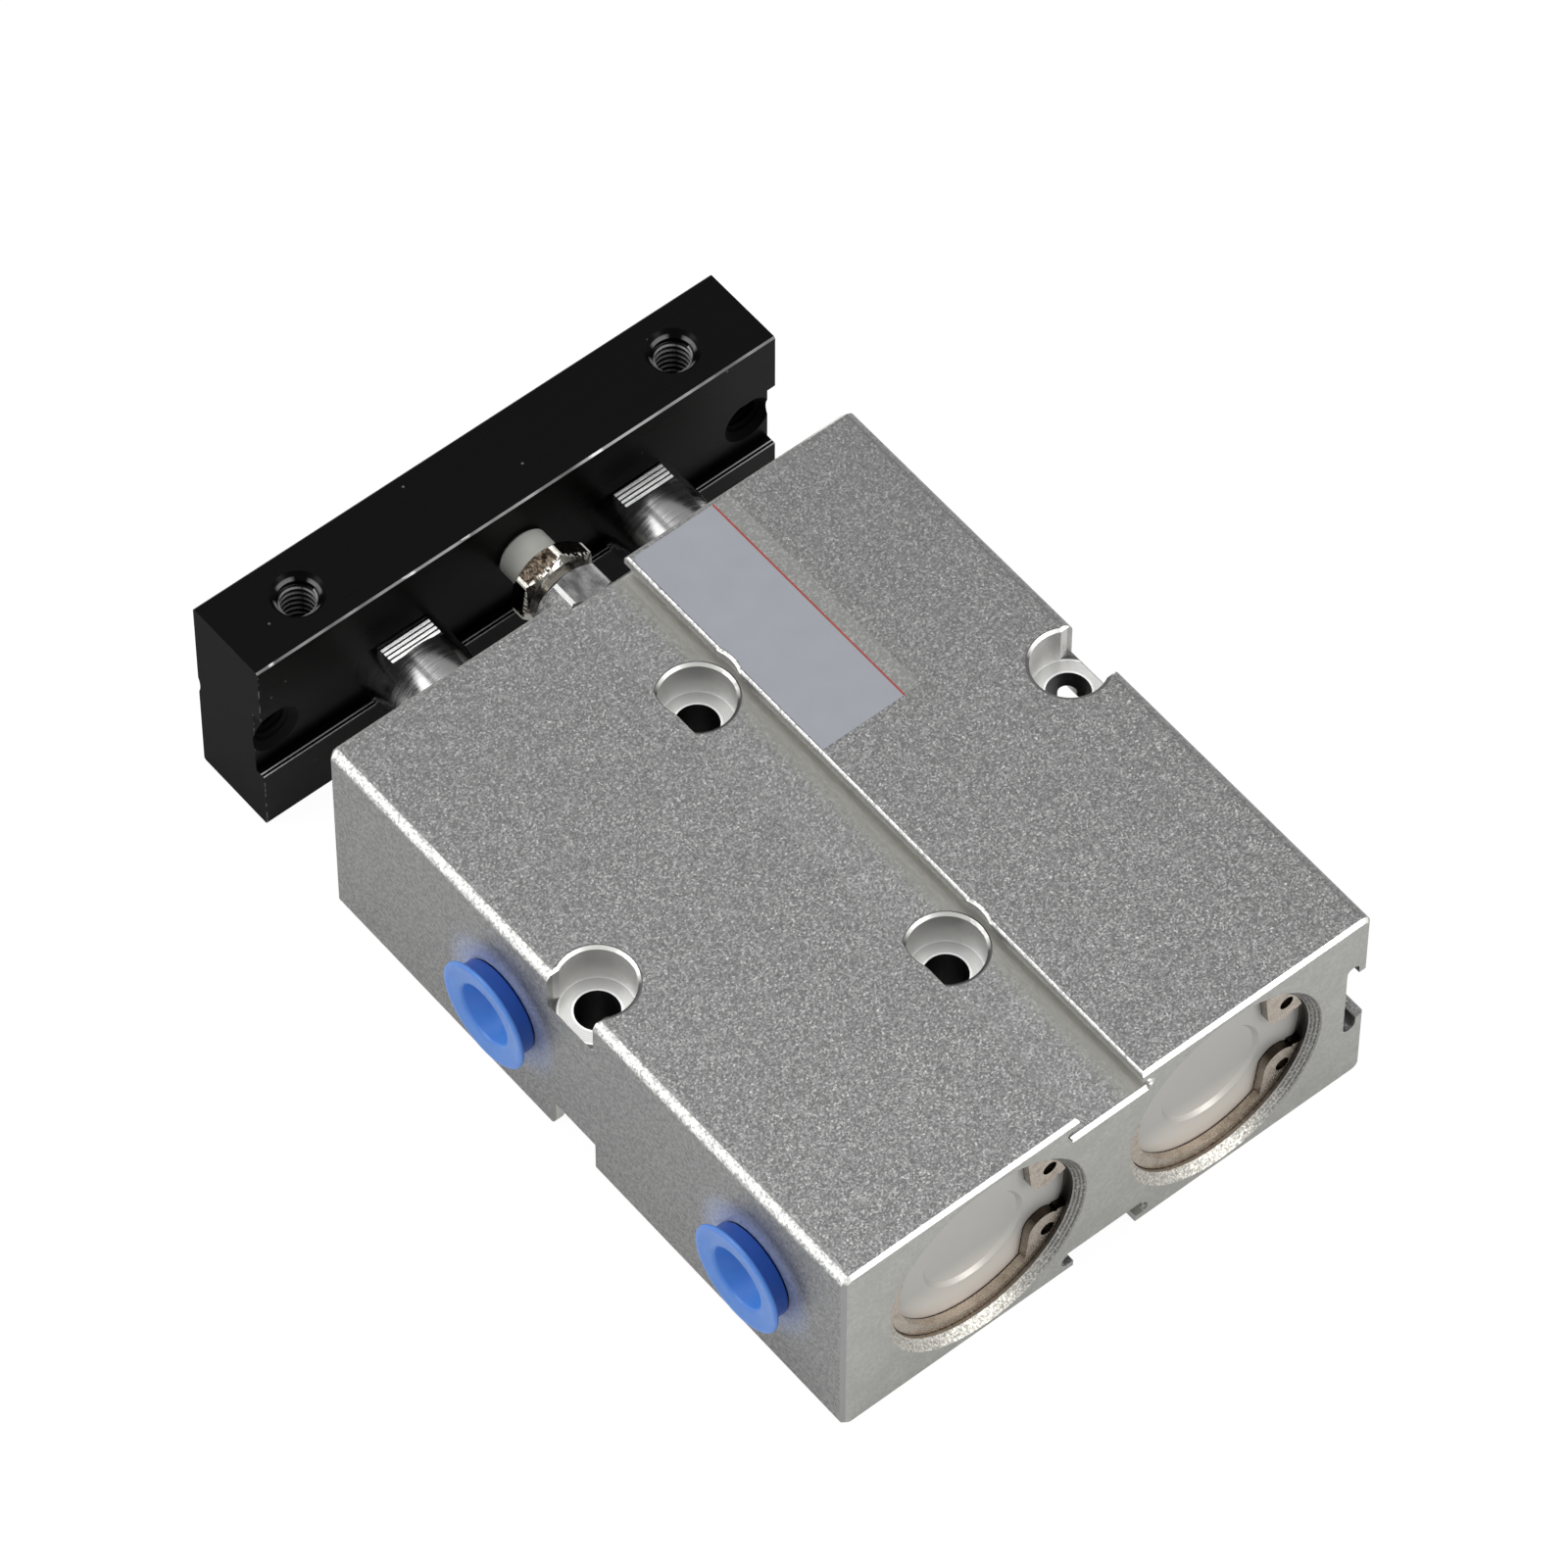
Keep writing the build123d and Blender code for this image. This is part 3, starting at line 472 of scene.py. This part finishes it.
def ground_steel():
    """Hard-chromed rod, ground round and round."""
    look = Look("ground_steel", grey(190), 1.0, 0.16)
    rings = look.noise(0.25 * MM, 4, stretch=(0.05, 1, 0.05))
    look.drive("Base Color", look.mix(rings, grey(176), grey(204)))
    look.drive("Roughness", look.span(rings, 0.3, 0.7, 0.12, 0.24))
    look.drive("Normal", look.bump(rings, 0.004 * MM))
    return look.material


def milled_steel():
    """The milled wrench flats: bright, with cutter lines."""
    look = Look("milled_steel", grey(214), 1.0, 0.2)
    lines = look.noise(0.12 * MM, 3, stretch=(0.05, 1, 1))
    look.drive("Base Color", look.mix(lines, grey(196), grey(226)))
    look.drive("Roughness", look.span(lines, 0.3, 0.7, 0.14, 0.3))
    look.drive("Normal", look.bump(lines, 0.01 * MM))
    return look.material


def bright_nickel():
    """Nickel plate over a roll-formed hexagon: wavy flats with a painted dark reflection, painted highlights
    on the corners and ends, and a row of painted glints near the rear rim.
    """
    look = Look("bright_nickel", srgb(206, 202, 196), 1.0, 0.08)
    y = look.parts(look.place)[1]
    along = look.maths("ABSOLUTE", look.normal()[1])
    reach = look.distance(stop_axes, 0, 2)
    outside = look.span(reach, HEX_INNER_R, HEX_INNER_R + 0.05 * MM)
    flank = look.both(look.span(along, 0.2, 0.3, 1.0, 0.0), outside)
    waves = look.noise(0.9 * MM, 2)
    fine = look.noise(0.15 * MM, 2)
    plain = look.mix(fine, srgb(196, 192, 184), srgb(216, 213, 208))
    # Painted dark reflection on the flats
    dark_flat_reflection = look.mix(look.span(look.noise(0.5 * MM, 3), 0.35, 0.65), srgb(44, 38, 32), srgb(118, 106, 92))
    ends = look.maths(
        "MAXIMUM",
        look.span(y, HEAD_REAR_Y + 0.14 * MM, HEAD_REAR_Y + 0.10 * MM),
        look.span(y, HEAD_FRONT_Y - 0.14 * MM, HEAD_FRONT_Y - 0.10 * MM),
    )
    # Painted highlights on the corners and ends, and a row of painted glints near the rear rim
    corners = look.span(reach, HEX_CORNER_R, HEX_CORNER_R + 0.04 * MM)
    outline = look.both(flank, look.maths("MAXIMUM", ends, corners))
    glint_beads = look.both(
        flank,
        look.span(y, HEAD_REAR_Y + 0.80 * MM, HEAD_REAR_Y + 0.60 * MM),
        look.span(look.noise(0.22 * MM, 1, stretch=(1, 0.35, 1)), 0.50, 0.56),
    )
    bright = look.maths("MAXIMUM", outline, glint_beads)
    colour = look.mix(flank, plain, dark_flat_reflection)
    look.drive("Base Color", look.mix(bright, colour, srgb(250, 247, 238)))
    look.drive("Metallic", look.less(bright, 0.8))
    look.drive("Roughness", look.span(fine, 0.3, 0.7, 0.08, 0.18))
    look.drive("Normal", look.bump(waves, 0.06 * MM))
    return look.material


def satin_zinc():
    """Satin zinc plate on the lock nut, smeared by the spanner, with painted highlights on its corners and
    rear edge.
    """
    look = Look("satin_zinc", grey(196), 1.0, 0.3)
    x, y = look.parts(look.place)[:2]
    along = look.maths("ABSOLUTE", look.normal()[1])
    reach = look.distance(stop_axes, 0, 2)
    outside = look.span(reach, HEX_INNER_R, HEX_INNER_R + 0.05 * MM)
    flank = look.both(look.span(along, 0.2, 0.3, 1.0, 0.0), outside)
    fine = look.noise(0.2 * MM, 3)
    smears = look.span(look.noise(1.0 * MM, 3, stretch=(1, 0.5, 1)), 0.35, 0.65)
    # Painted highlights on the rear edge and the corners, stronger on the left
    rear = look.span(y, body_high.y + 0.20 * MM, body_high.y + 0.16 * MM)
    corners = look.span(reach, HEX_CORNER_R + 0.02 * MM, HEX_CORNER_R + 0.06 * MM)
    corners = look.both(corners, look.span(x, 0, 0.1 * MM, 1.0, 0.3))
    outline = look.both(flank, look.maths("MAXIMUM", rear, corners))
    look.drive("Base Color", look.mix(outline, look.mix(smears, grey(122), grey(188)), grey(250)))
    look.drive("Metallic", look.less(outline, 0.8))
    look.drive("Roughness", look.span(fine, 0.3, 0.7, 0.24, 0.38))
    look.drive("Normal", look.bump(fine, 0.006 * MM))
    return look.material


def spring_steel():
    """Phosphated and oiled spring steel of the retaining rings."""
    look = Look("spring_steel", srgb(180, 168, 154), 1.0, 0.24)
    fine = look.noise(0.14 * MM, 3)
    patches = look.noise(1.0 * MM, 3)
    grain = look.mix(look.span(fine, 0.35, 0.65), srgb(172, 160, 147), srgb(204, 194, 182))
    colour = look.mix(look.span(patches, 0.45, 0.75, 0.0, 0.5), grain, srgb(128, 114, 100))
    x, y = look.parts(look.place)[:2]
    outward = look.maths("ABSOLUTE", y)
    along = look.maths("ABSOLUTE", look.normal()[1])
    walls = look.span(along, 0.3, 0.5, 1.0, 0.0)
    ears = look.span(look.beside_rod(x), 5.0 * MM, 7.0 * MM)
    # Painted shade: the walls at the ears are darkened
    colour = look.mix(look.both(walls, ears), colour, srgb(72, 62, 54))
    # Painted shadow lines on the outer edge and along part of the walls, for the gaps to the groove wall and
    # the cap
    gap_shadow_lines = look.maths(
        "MAXIMUM",
        look.span(look.distance(bore_axes, 0, 2), MOUTH_R - 0.16 * MM, MOUTH_R - 0.12 * MM),
        look.both(walls, look.span(outward, RING_SEAT_Y + 0.16 * MM, RING_SEAT_Y + 0.12 * MM)),
    )
    look.drive("Base Color", look.mix(gap_shadow_lines, colour, srgb(58, 48, 42)))
    look.drive("Roughness", look.span(fine, 0.3, 0.7, 0.16, 0.34))
    look.drive("Normal", look.bump(fine, 0.012 * MM))
    return look.material


def turned_cap():
    """The caps and guides: smooth, pale turned metal."""
    look = Look("turned_cap", srgb(186, 185, 181), 0.5, 0.45)
    fine = look.noise(0.15 * MM, 3)
    plain = look.mix(fine, srgb(180, 179, 175), srgb(190, 189, 185))
    # Painted warm glow, lighter towards the bottom
    low = look.span(look.parts(look.place)[2], -2.5 * MM, -9.5 * MM)
    look.drive("Base Color", look.mix(low, plain, srgb(240, 232, 222)))
    look.drive("Roughness", look.span(fine, 0.3, 0.7, 0.42, 0.50))
    look.drive("Normal", look.bump(fine, 0.003 * MM))
    return look.material


def moulded(name, dark, light, roughness):
    """Moulded plastic or rubber with a faint, uneven skin."""
    look = Look(name, light, 0.0, roughness)
    skin = look.noise(1.2 * MM, 3)
    fine = look.noise(0.12 * MM, 2)
    look.drive("Base Color", look.mix(skin, dark, light))
    look.drive("Roughness", look.span(fine, 0.3, 0.7, roughness - 0.06, roughness + 0.06))
    look.drive("Normal", look.bump(fine, 0.004 * MM))
    return look.material


def turned_metal(name, dark, light, roughness):
    """Turned metal of an inner piece, with tool lines round its axis."""
    look = Look(name, light, 1.0, roughness)
    lines = look.noise(0.2 * MM, 3, stretch=(0.05, 1, 0.05))
    look.drive("Base Color", look.mix(lines, dark, light))
    look.drive("Roughness", look.span(lines, 0.3, 0.7, roughness - 0.06, roughness + 0.06))
    look.drive("Normal", look.bump(lines, 0.008 * MM))
    return look.material


def film():
    """The bare nameplate film: satin, cool grey, with a clear margin beyond the printed line."""
    look = Look("nameplate_film", srgb(158, 161, 168), 0.0, 0.42, Specular_IOR_Level=0.3)
    cloud = look.noise(3 * MM, 3)
    printed = look.mix(cloud, srgb(149, 152, 159), srgb(158, 161, 168))
    flecks = look.span(look.noise(0.30 * MM, 2, roughness=0.6), 0.47, 0.70)
    margin = look.mix(flecks, srgb(132, 132, 130), srgb(163, 163, 161))
    beyond = look.span(look.parts(look.place)[0], line_x, line_x + 0.1 * MM)
    look.drive("Base Color", look.mix(beyond, printed, margin))
    look.drive("Roughness", look.span(look.noise(0.2 * MM), 0.3, 0.7, 0.38, 0.48))
    return look.material


def red_ink():
    look = Look("red_ink", srgb(176, 78, 68), 0.0, 0.45)
    cloud = look.noise(0.6 * MM, 2)
    look.drive("Base Color", look.mix(cloud, srgb(142, 54, 48), srgb(168, 74, 66)))
    return look.material


def blue_polythene():
    """The port plugs: soft blue polythene, deeper on the neck and lit from within in the recess."""
    look = Look(
        "blue_polythene",
        srgb(76, 132, 216),
        0.0,
        0.36,
        Subsurface_Weight=0.5,
        Subsurface_Scale=0.0012,
        Subsurface_Radius=(0.3, 0.5, 1.0),
    )
    skin = look.noise(1.2 * MM, 3)
    fine = look.noise(0.12 * MM, 2)
    x = look.parts(look.place)[0]
    reach = look.distance(port_axes, 1, 2)
    flange_rear = body_low.x - PLUG_PROUD + 0.5 * MM
    neck = look.both(
        look.span(x, flange_rear, flange_rear + 0.15 * MM),
        look.span(reach, PLUG_NECK_R - 0.5 * MM, PLUG_NECK_R - 0.3 * MM),
    )
    recess = look.span(reach, PLUG_RECESS_R - 0.1 * MM, PLUG_RECESS_R + 0.2 * MM, 1.0, 0.0)
    colour = look.mix(skin, srgb(66, 120, 198), srgb(84, 138, 212))
    colour = look.mix(recess, colour, srgb(80, 146, 224))
    look.drive("Base Color", look.mix(neck, colour, srgb(42, 92, 184)))
    look.drive("Roughness", look.span(fine, 0.3, 0.7, 0.30, 0.42))
    look.drive("Normal", look.bump(fine, 0.004 * MM))
    return look.material


aluminium = blasted_aluminium()
plate_black = black_anodised()
rod_steel = ground_steel()
flat_steel = milled_steel()
nickel = bright_nickel()
zinc = satin_zinc()
ring_steel = spring_steel()
cap_metal = turned_cap()
plug_blue = blue_polythene()
tip_nylon = moulded("tip_nylon", srgb(181, 181, 175), srgb(197, 197, 191), 0.5)
rubber = moulded("black_rubber", grey(22), grey(34), 0.55)
cushion_rubber = moulded("cushion_urethane", srgb(150, 96, 40), srgb(178, 120, 58), 0.45)
wear_band = moulded("wear_band", srgb(150, 128, 92), srgb(172, 150, 112), 0.5)
bronze = turned_metal("bush_bronze", srgb(150, 112, 62), srgb(186, 146, 90), 0.34)
piston_metal = turned_metal("piston_aluminium", grey(168), grey(196), 0.28)
magnet_ferrite = moulded("magnet_ferrite", grey(48), grey(64), 0.6)
screw_steel = turned_metal("screw_black_oxide", grey(30), grey(52), 0.36)
film_grey = film()
film_red = red_ink()

FINISHES = {
    "housing": aluminium,
    "tool_plate": plate_black,
    "plate_screws": screw_steel,
    "stop_lock_nut": zinc,
    "stop_screw": nickel,
    "stop_tip": tip_nylon,
    "port_plug": plug_blue,
    "rod_guide_seal": rubber,
    "rod_guide": cap_metal,
    "rod_seal": rubber,
    "rod": rod_steel,
    "rear_cap_seal": rubber,
    "rear_cap": cap_metal,
    "rear_retaining_ring": ring_steel,
    "front_retaining_ring": ring_steel,
    "rear_cushion": cushion_rubber,
    "front_cushion": cushion_rubber,
    "guide_bush": bronze,
    "wear_ring": wear_band,
    "piston_seal": rubber,
    "piston_magnet": magnet_ferrite,
    "piston_nut": zinc,
    "piston": piston_metal,
}

for node_name, node in nodes.items():
    kind = max((key for key in FINISHES if node_name.startswith(key)), key=len)
    node.data.materials.clear()
    node.data.materials.append(FINISHES[kind])


# Pieces

def piece(name, mesh, material, body, smooth=True):
    """Link a finished bmesh as a piece that rides on a body."""
    bmesh.ops.recalc_face_normals(mesh, faces=mesh.faces)
    data = bpy.data.meshes.new(name)
    mesh.to_mesh(data)
    mesh.free()
    for face in data.polygons:
        face.use_smooth = smooth
    data.materials.append(material)
    made = bpy.data.objects.new(name, data)
    bpy.context.scene.collection.objects.link(made)
    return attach(made, body)


def inner_thread(name, centre, axis, radius, pitch, start, end, body, material):
    """The ridge of a tapped hole: a helix of triangular section, sunk a little into the wall."""
    steps = 40
    sink = 0.03 * MM
    crest = radius - 0.32 * MM
    foot = 0.42 * pitch
    axis = Vector(axis)
    side = Vector((0, 0, 1)) if abs(axis.z) < 0.5 else Vector((1, 0, 0))
    third = axis.cross(side)
    mesh = bmesh.new()
    rows = []
    for step in range(int((end - start) / pitch * steps) + 1):
        angle = 2 * pi * step / steps
        out = side * cos(angle) + third * sin(angle)
        at = Vector(centre) + axis * (start + pitch * step / steps)
        rows.append([
            mesh.verts.new(at + out * (radius + sink) - axis * foot),
            mesh.verts.new(at + out * crest),
            mesh.verts.new(at + out * (radius + sink) + axis * foot),
        ])
    for before, after in zip(rows, rows[1:]):
        for i in range(3):
            j = (i + 1) % 3
            mesh.faces.new((before[i], before[j], after[j], after[i]))
    mesh.faces.new(rows[0])
    mesh.faces.new(rows[-1])
    return piece(name, mesh, material, body, smooth=False)


THREAD_PITCH = 0.8 * MM
HOLE_EASE = 0.9 * MM
CHANNEL_DEPTH = 1.2 * MM
for side_name, x in (("left", -CROSS_HOLE_X), ("right", CROSS_HOLE_X)):
    inner_thread(
        f"cross_hole_thread_{side_name}",
        (x, plate_middle_y, 0),
        (0, 0, 1),
        HOLE_R,
        THREAD_PITCH,
        plate_low.z + HOLE_EASE,
        plate_high.z - HOLE_EASE,
        "carriage",
        plate_black,
    )
for side_name, x in (("left", -FACE_HOLE_X), ("right", FACE_HOLE_X)):
    inner_thread(
        f"face_hole_thread_{side_name}",
        (x, 0, 0),
        (0, 1, 0),
        HOLE_R,
        THREAD_PITCH,
        plate_low.y + CHANNEL_DEPTH + HOLE_EASE,
        plate_high.y - HOLE_EASE,
        "carriage",
        plate_black,
    )


def ridges(name, centre_x, height, places, rise, run, half_length, body, material):
    """Cutter ridges across a milled flat, each a long slope that falls to the rear."""
    mesh = bmesh.new()
    sink = 0.02 * MM
    for place in places:
        section = [(place + 0.02 * MM, -sink), (place, rise), (place - run, 0), (place - run, -sink)]
        ends = []
        for x in (centre_x - half_length, centre_x + half_length):
            ends.append([mesh.verts.new((x, y, height + z)) for y, z in section])
        for i in range(4):
            j = (i + 1) % 4
            mesh.faces.new((ends[0][i], ends[0][j], ends[1][j], ends[1][i]))
        mesh.faces.new(ends[0])
        mesh.faces.new(ends[1])
    return piece(name, mesh, material, body, smooth=False)


RIDGE_PITCH = 0.53 * MM
RIDGE_RISE = 0.08 * MM
RIDGE_RUN = 0.30 * MM
RIDGE_HALF = 2.95 * MM
RIDGE_COUNT = 4
FLAT_HEIGHT = 4.0 * MM
for side_name, x, first_y in (("left", -BORE_X, 45.30 * MM), ("right", BORE_X, 45.58 * MM)):
    ridges(
        f"flat_ridges_{side_name}",
        x,
        FLAT_HEIGHT,
        [first_y - RIDGE_PITCH * count for count in range(RIDGE_COUNT)],
        RIDGE_RISE,
        RIDGE_RUN,
        RIDGE_HALF,
        "carriage",
        flat_steel,
    )


def turned_piece(name, profile, centre, material, body, replaced, steps=96):
    """A closed (out, radius) profile turned round an axis that leaves the left side."""
    mesh = bmesh.new()
    rings = []
    for out, radius in profile:
        angles = [2 * pi * step / steps for step in range(steps if radius > 0 else 1)]
        places = [Vector(centre) + Vector((-out, radius * cos(a), radius * sin(a))) for a in angles]
        rings.append([mesh.verts.new(place) for place in places])
    for first, second in zip(rings, rings[1:]):
        for i in range(steps):
            j = (i + 1) % steps
            corners = [(first, i), (first, j), (second, j), (second, i)]
            mesh.faces.new(list(dict.fromkeys(ring[k % len(ring)] for ring, k in corners)))
    made = piece(name, mesh, material, body)
    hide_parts(replaced)
    return made


# The port plugs again, with the thin dished flange and the open neck behind it
plug_profile = [
    (-PLUG_RECESS_DEPTH, 0),
    (-PLUG_RECESS_DEPTH, PLUG_RECESS_FLOOR_R),
    (PLUG_PROUD - 0.50 * MM, PLUG_RECESS_R),
    (PLUG_PROUD - 0.28 * MM, PLUG_RECESS_R + 0.10 * MM),
    (PLUG_PROUD - 0.16 * MM, PLUG_RECESS_R + 0.35 * MM),
    (PLUG_PROUD - 0.14 * MM, PLUG_FLANGE_R - 1.2 * MM),
    (PLUG_PROUD - 0.04 * MM, PLUG_FLANGE_R - 0.75 * MM),
    (PLUG_PROUD, PLUG_FLANGE_R - 0.5 * MM),
    (PLUG_PROUD - 0.03 * MM, PLUG_FLANGE_R - 0.2 * MM),
    (PLUG_PROUD - 0.12 * MM, PLUG_FLANGE_R - 0.05 * MM),
    (PLUG_PROUD - 0.25 * MM, PLUG_FLANGE_R),
    (PLUG_PROUD - 0.40 * MM, PLUG_FLANGE_R - 0.08 * MM),
    (PLUG_PROUD - 0.48 * MM, PLUG_FLANGE_R - 0.25 * MM),
    (PLUG_PROUD - 0.60 * MM, PLUG_NECK_R + 0.1 * MM),
    (PLUG_PROUD - 0.75 * MM, PLUG_NECK_R),
    (0.25 * MM, PLUG_NECK_R),
    (0.15 * MM, PLUG_NECK_R - 0.1 * MM),
    (0.12 * MM, PLUG_SHANK_R),
    (-PLUG_SHANK_DEPTH, PLUG_SHANK_R),
    (-PLUG_SHANK_DEPTH, 0),
]
for (port_y, port_z), plug_body in zip(port_axes, ("front_plug", "rear_plug")):
    port_name = plug_body.split("_")[0]
    turned_piece(
        f"{port_name}_plug_moulding",
        plug_profile,
        (body_low.x, port_y, port_z),
        plug_blue,
        plug_body,
        f"port_plug_{port_name}",
    )


def slab(name, outline, low, high, material, body):
    """A flat piece from an outline of (x, y) points, between two heights."""
    mesh = bmesh.new()
    bottom = [mesh.verts.new((x, y, low)) for x, y in outline]
    mesh.faces.new(bottom)
    risen = bmesh.ops.extrude_face_region(mesh, geom=mesh.faces[:])
    top = [v for v in risen["geom"] if isinstance(v, bmesh.types.BMVert)]
    bmesh.ops.translate(mesh, verts=top, vec=(0, 0, high - low))
    return piece(name, mesh, material, body, smooth=False)


def arc(centre_x, centre_y, radius, start, end, steps=12):
    """Points on an arc between two angles, in degrees."""
    angles = [radians(start + (end - start) * step / steps) for step in range(steps + 1)]
    return [(centre_x + radius * cos(angle), centre_y + radius * sin(angle)) for angle in angles]


# The film's left edge follows the groove's lip and steps back round the counterbore
film_top = body_high.z + 0.05 * MM
film_left = 4.2 * MM
film_front = 33.6 * MM
film_rear = 4.8 * MM
film_corner = 0.8 * MM
notch_r = COUNTERBORE_R + 0.65 * MM
notch_angle = degrees(acos(film_left / notch_r))
slab(
    "nameplate_film",
    [
        (film_left, film_rear),
        (film_right, film_rear),
        (film_right, film_front),
        *arc(film_left + film_corner, film_front - film_corner, film_corner, 90, 180),
        *arc(0, CENTRE_HOLE_Y, notch_r, notch_angle, -notch_angle),
    ],
    body_high.z - 0.02 * MM,
    film_top,
    film_grey,
    "body",
)
slab(
    "nameplate_line",
    [
        (line_x - 0.11 * MM, film_rear),
        (line_x + 0.11 * MM, film_rear),
        (line_x + 0.11 * MM, film_front),
        (line_x - 0.11 * MM, film_front),
    ],
    film_top - 0.02 * MM,
    film_top + 0.01 * MM,
    film_red,
    "body",
)


# Stage, light and camera

LAMP_REACH = 0.9
FLOOR_HALF = 3.0
BACKDROP_TOP = 0.25
CEILING_START = 0.60
CEILING_LEVEL = 0.45
DIFFUSE_LEVEL = 0.50
FLOOR_GLOW = 0.90
FLOOR_STRENGTH = 1.06
FLOOR_GLOW_MIRRORED = 0.25

def stage_floor():
    data = bpy.data.meshes.new("floor")
    corners = [(-1, -1), (1, -1), (1, 1), (-1, 1)]
    data.from_pydata([(x * FLOOR_HALF, y * FLOOR_HALF, body_low.z) for x, y in corners], [], [(0, 1, 2, 3)])
    floor = bpy.data.objects.new("floor", data)
    bpy.context.scene.collection.objects.link(floor)
    material = bpy.data.materials.new("floor_white")
    material.use_nodes = True
    tree = material.node_tree
    tree.nodes.clear()
    out = tree.nodes.new("ShaderNodeOutputMaterial")
    blend = tree.nodes.new("ShaderNodeMixShader")
    matt = tree.nodes.new("ShaderNodeBsdfDiffuse")
    glow = tree.nodes.new("ShaderNodeEmission")
    path = tree.nodes.new("ShaderNodeLightPath")
    mirrored = tree.nodes.new("ShaderNodeMath")
    mirrored.operation = "MULTIPLY"
    mirrored.inputs[1].default_value = FLOOR_GLOW_MIRRORED
    share = tree.nodes.new("ShaderNodeMath")
    share.operation = "MULTIPLY_ADD"
    share.inputs[1].default_value = FLOOR_GLOW
    matt.inputs["Color"].default_value = (0.85, 0.85, 0.85, 1)
    glow.inputs["Strength"].default_value = FLOOR_STRENGTH
    tree.links.new(path.outputs["Is Glossy Ray"], mirrored.inputs[0])
    tree.links.new(path.outputs["Is Camera Ray"], share.inputs[0])
    tree.links.new(mirrored.outputs[0], share.inputs[2])
    tree.links.new(share.outputs[0], blend.inputs[0])
    tree.links.new(matt.outputs[0], blend.inputs[1])
    tree.links.new(glow.outputs[0], blend.inputs[2])
    tree.links.new(blend.outputs[0], out.inputs["Surface"])
    data.materials.append(material)


def world():
    """A white backdrop up to a little above the horizon, under a darker ceiling."""
    made = bpy.data.worlds.new("studio")
    made.use_nodes = True
    tree = made.node_tree
    background = tree.nodes["Background"]
    place = tree.nodes.new("ShaderNodeTexCoord")
    parts = tree.nodes.new("ShaderNodeSeparateXYZ")
    ceiling = tree.nodes.new("ShaderNodeMapRange")
    ceiling.interpolation_type = "SMOOTHSTEP"
    ceiling.inputs["From Min"].default_value = BACKDROP_TOP
    ceiling.inputs["From Max"].default_value = CEILING_START
    ceiling.inputs["To Min"].default_value = 1.0
    ceiling.inputs["To Max"].default_value = CEILING_LEVEL
    path = tree.nodes.new("ShaderNodeLightPath")
    seen = tree.nodes.new("ShaderNodeMath")
    seen.operation = "MAXIMUM"
    both = tree.nodes.new("ShaderNodeMath")
    both.operation = "MAXIMUM"
    level = tree.nodes.new("ShaderNodeMix")
    tree.links.new(place.outputs["Generated"], parts.inputs[0])
    tree.links.new(parts.outputs["Z"], ceiling.inputs["Value"])
    tree.links.new(path.outputs["Is Camera Ray"], seen.inputs[0])
    tree.links.new(path.outputs["Is Glossy Ray"], seen.inputs[1])
    tree.links.new(seen.outputs[0], both.inputs[0])
    tree.links.new(path.outputs["Is Transmission Ray"], both.inputs[1])
    tree.links.new(both.outputs[0], level.inputs[0])
    level.inputs[2].default_value = DIFFUSE_LEVEL
    tree.links.new(ceiling.outputs["Result"], level.inputs[3])
    tree.links.new(level.outputs[0], background.inputs["Strength"])
    background.inputs["Color"].default_value = (1, 1, 1, 1)
    bpy.context.scene.world = made


def lamp(name, direction, size, power):
    """A soft square lamp in a direction from the part, aimed at the origin."""
    data = bpy.data.lights.new(name, "AREA")
    data.shape = "SQUARE"
    data.size = size
    data.energy = power
    made = bpy.data.objects.new(name, data)
    bpy.context.scene.collection.objects.link(made)
    made.location = Vector(direction) * LAMP_REACH
    made.rotation_mode = "QUATERNION"
    made.rotation_quaternion = (-made.location).to_track_quat("-Z", "Y")


stage_floor()
world()
lamp("left_softbox", (-0.82, 0.44, 0.36), 0.35, 1.8)
lamp("right_softbox", (0.36, -0.82, 0.44), 0.35, 2.2)
lamp("upper_left_softbox", (-0.60, 0.43, 0.68), 0.45, 1.2)
lamp("top_softbox", (0.05, 0.15, 0.98), 0.5, 2.4)

IMAGE_WIDTH = 1600
FOCAL_PIXELS = 10418.0
SENSOR_MM = 36.0
CAMERA_PLACE = Vector((-0.3490, -0.4179, 0.8025))
CAMERA_RIGHT = Vector((0.77374, -0.63349, 0.00231))
CAMERA_UP = Vector((0.51979, 0.63694, 0.56932))
camera_data = bpy.data.cameras.new("camera")
camera_data.sensor_width = SENSOR_MM
camera_data.lens = FOCAL_PIXELS / IMAGE_WIDTH * SENSOR_MM
camera_data.clip_start = 0.01
camera = bpy.data.objects.new("camera", camera_data)
bpy.context.scene.collection.objects.link(camera)
back = CAMERA_RIGHT.cross(CAMERA_UP)
turn = Matrix((CAMERA_RIGHT, CAMERA_UP, back)).transposed()
camera.matrix_world = Matrix.Translation(CAMERA_PLACE) @ turn.to_4x4()
bpy.context.scene.camera = camera

bpy.context.scene.view_settings.view_transform = "Standard"
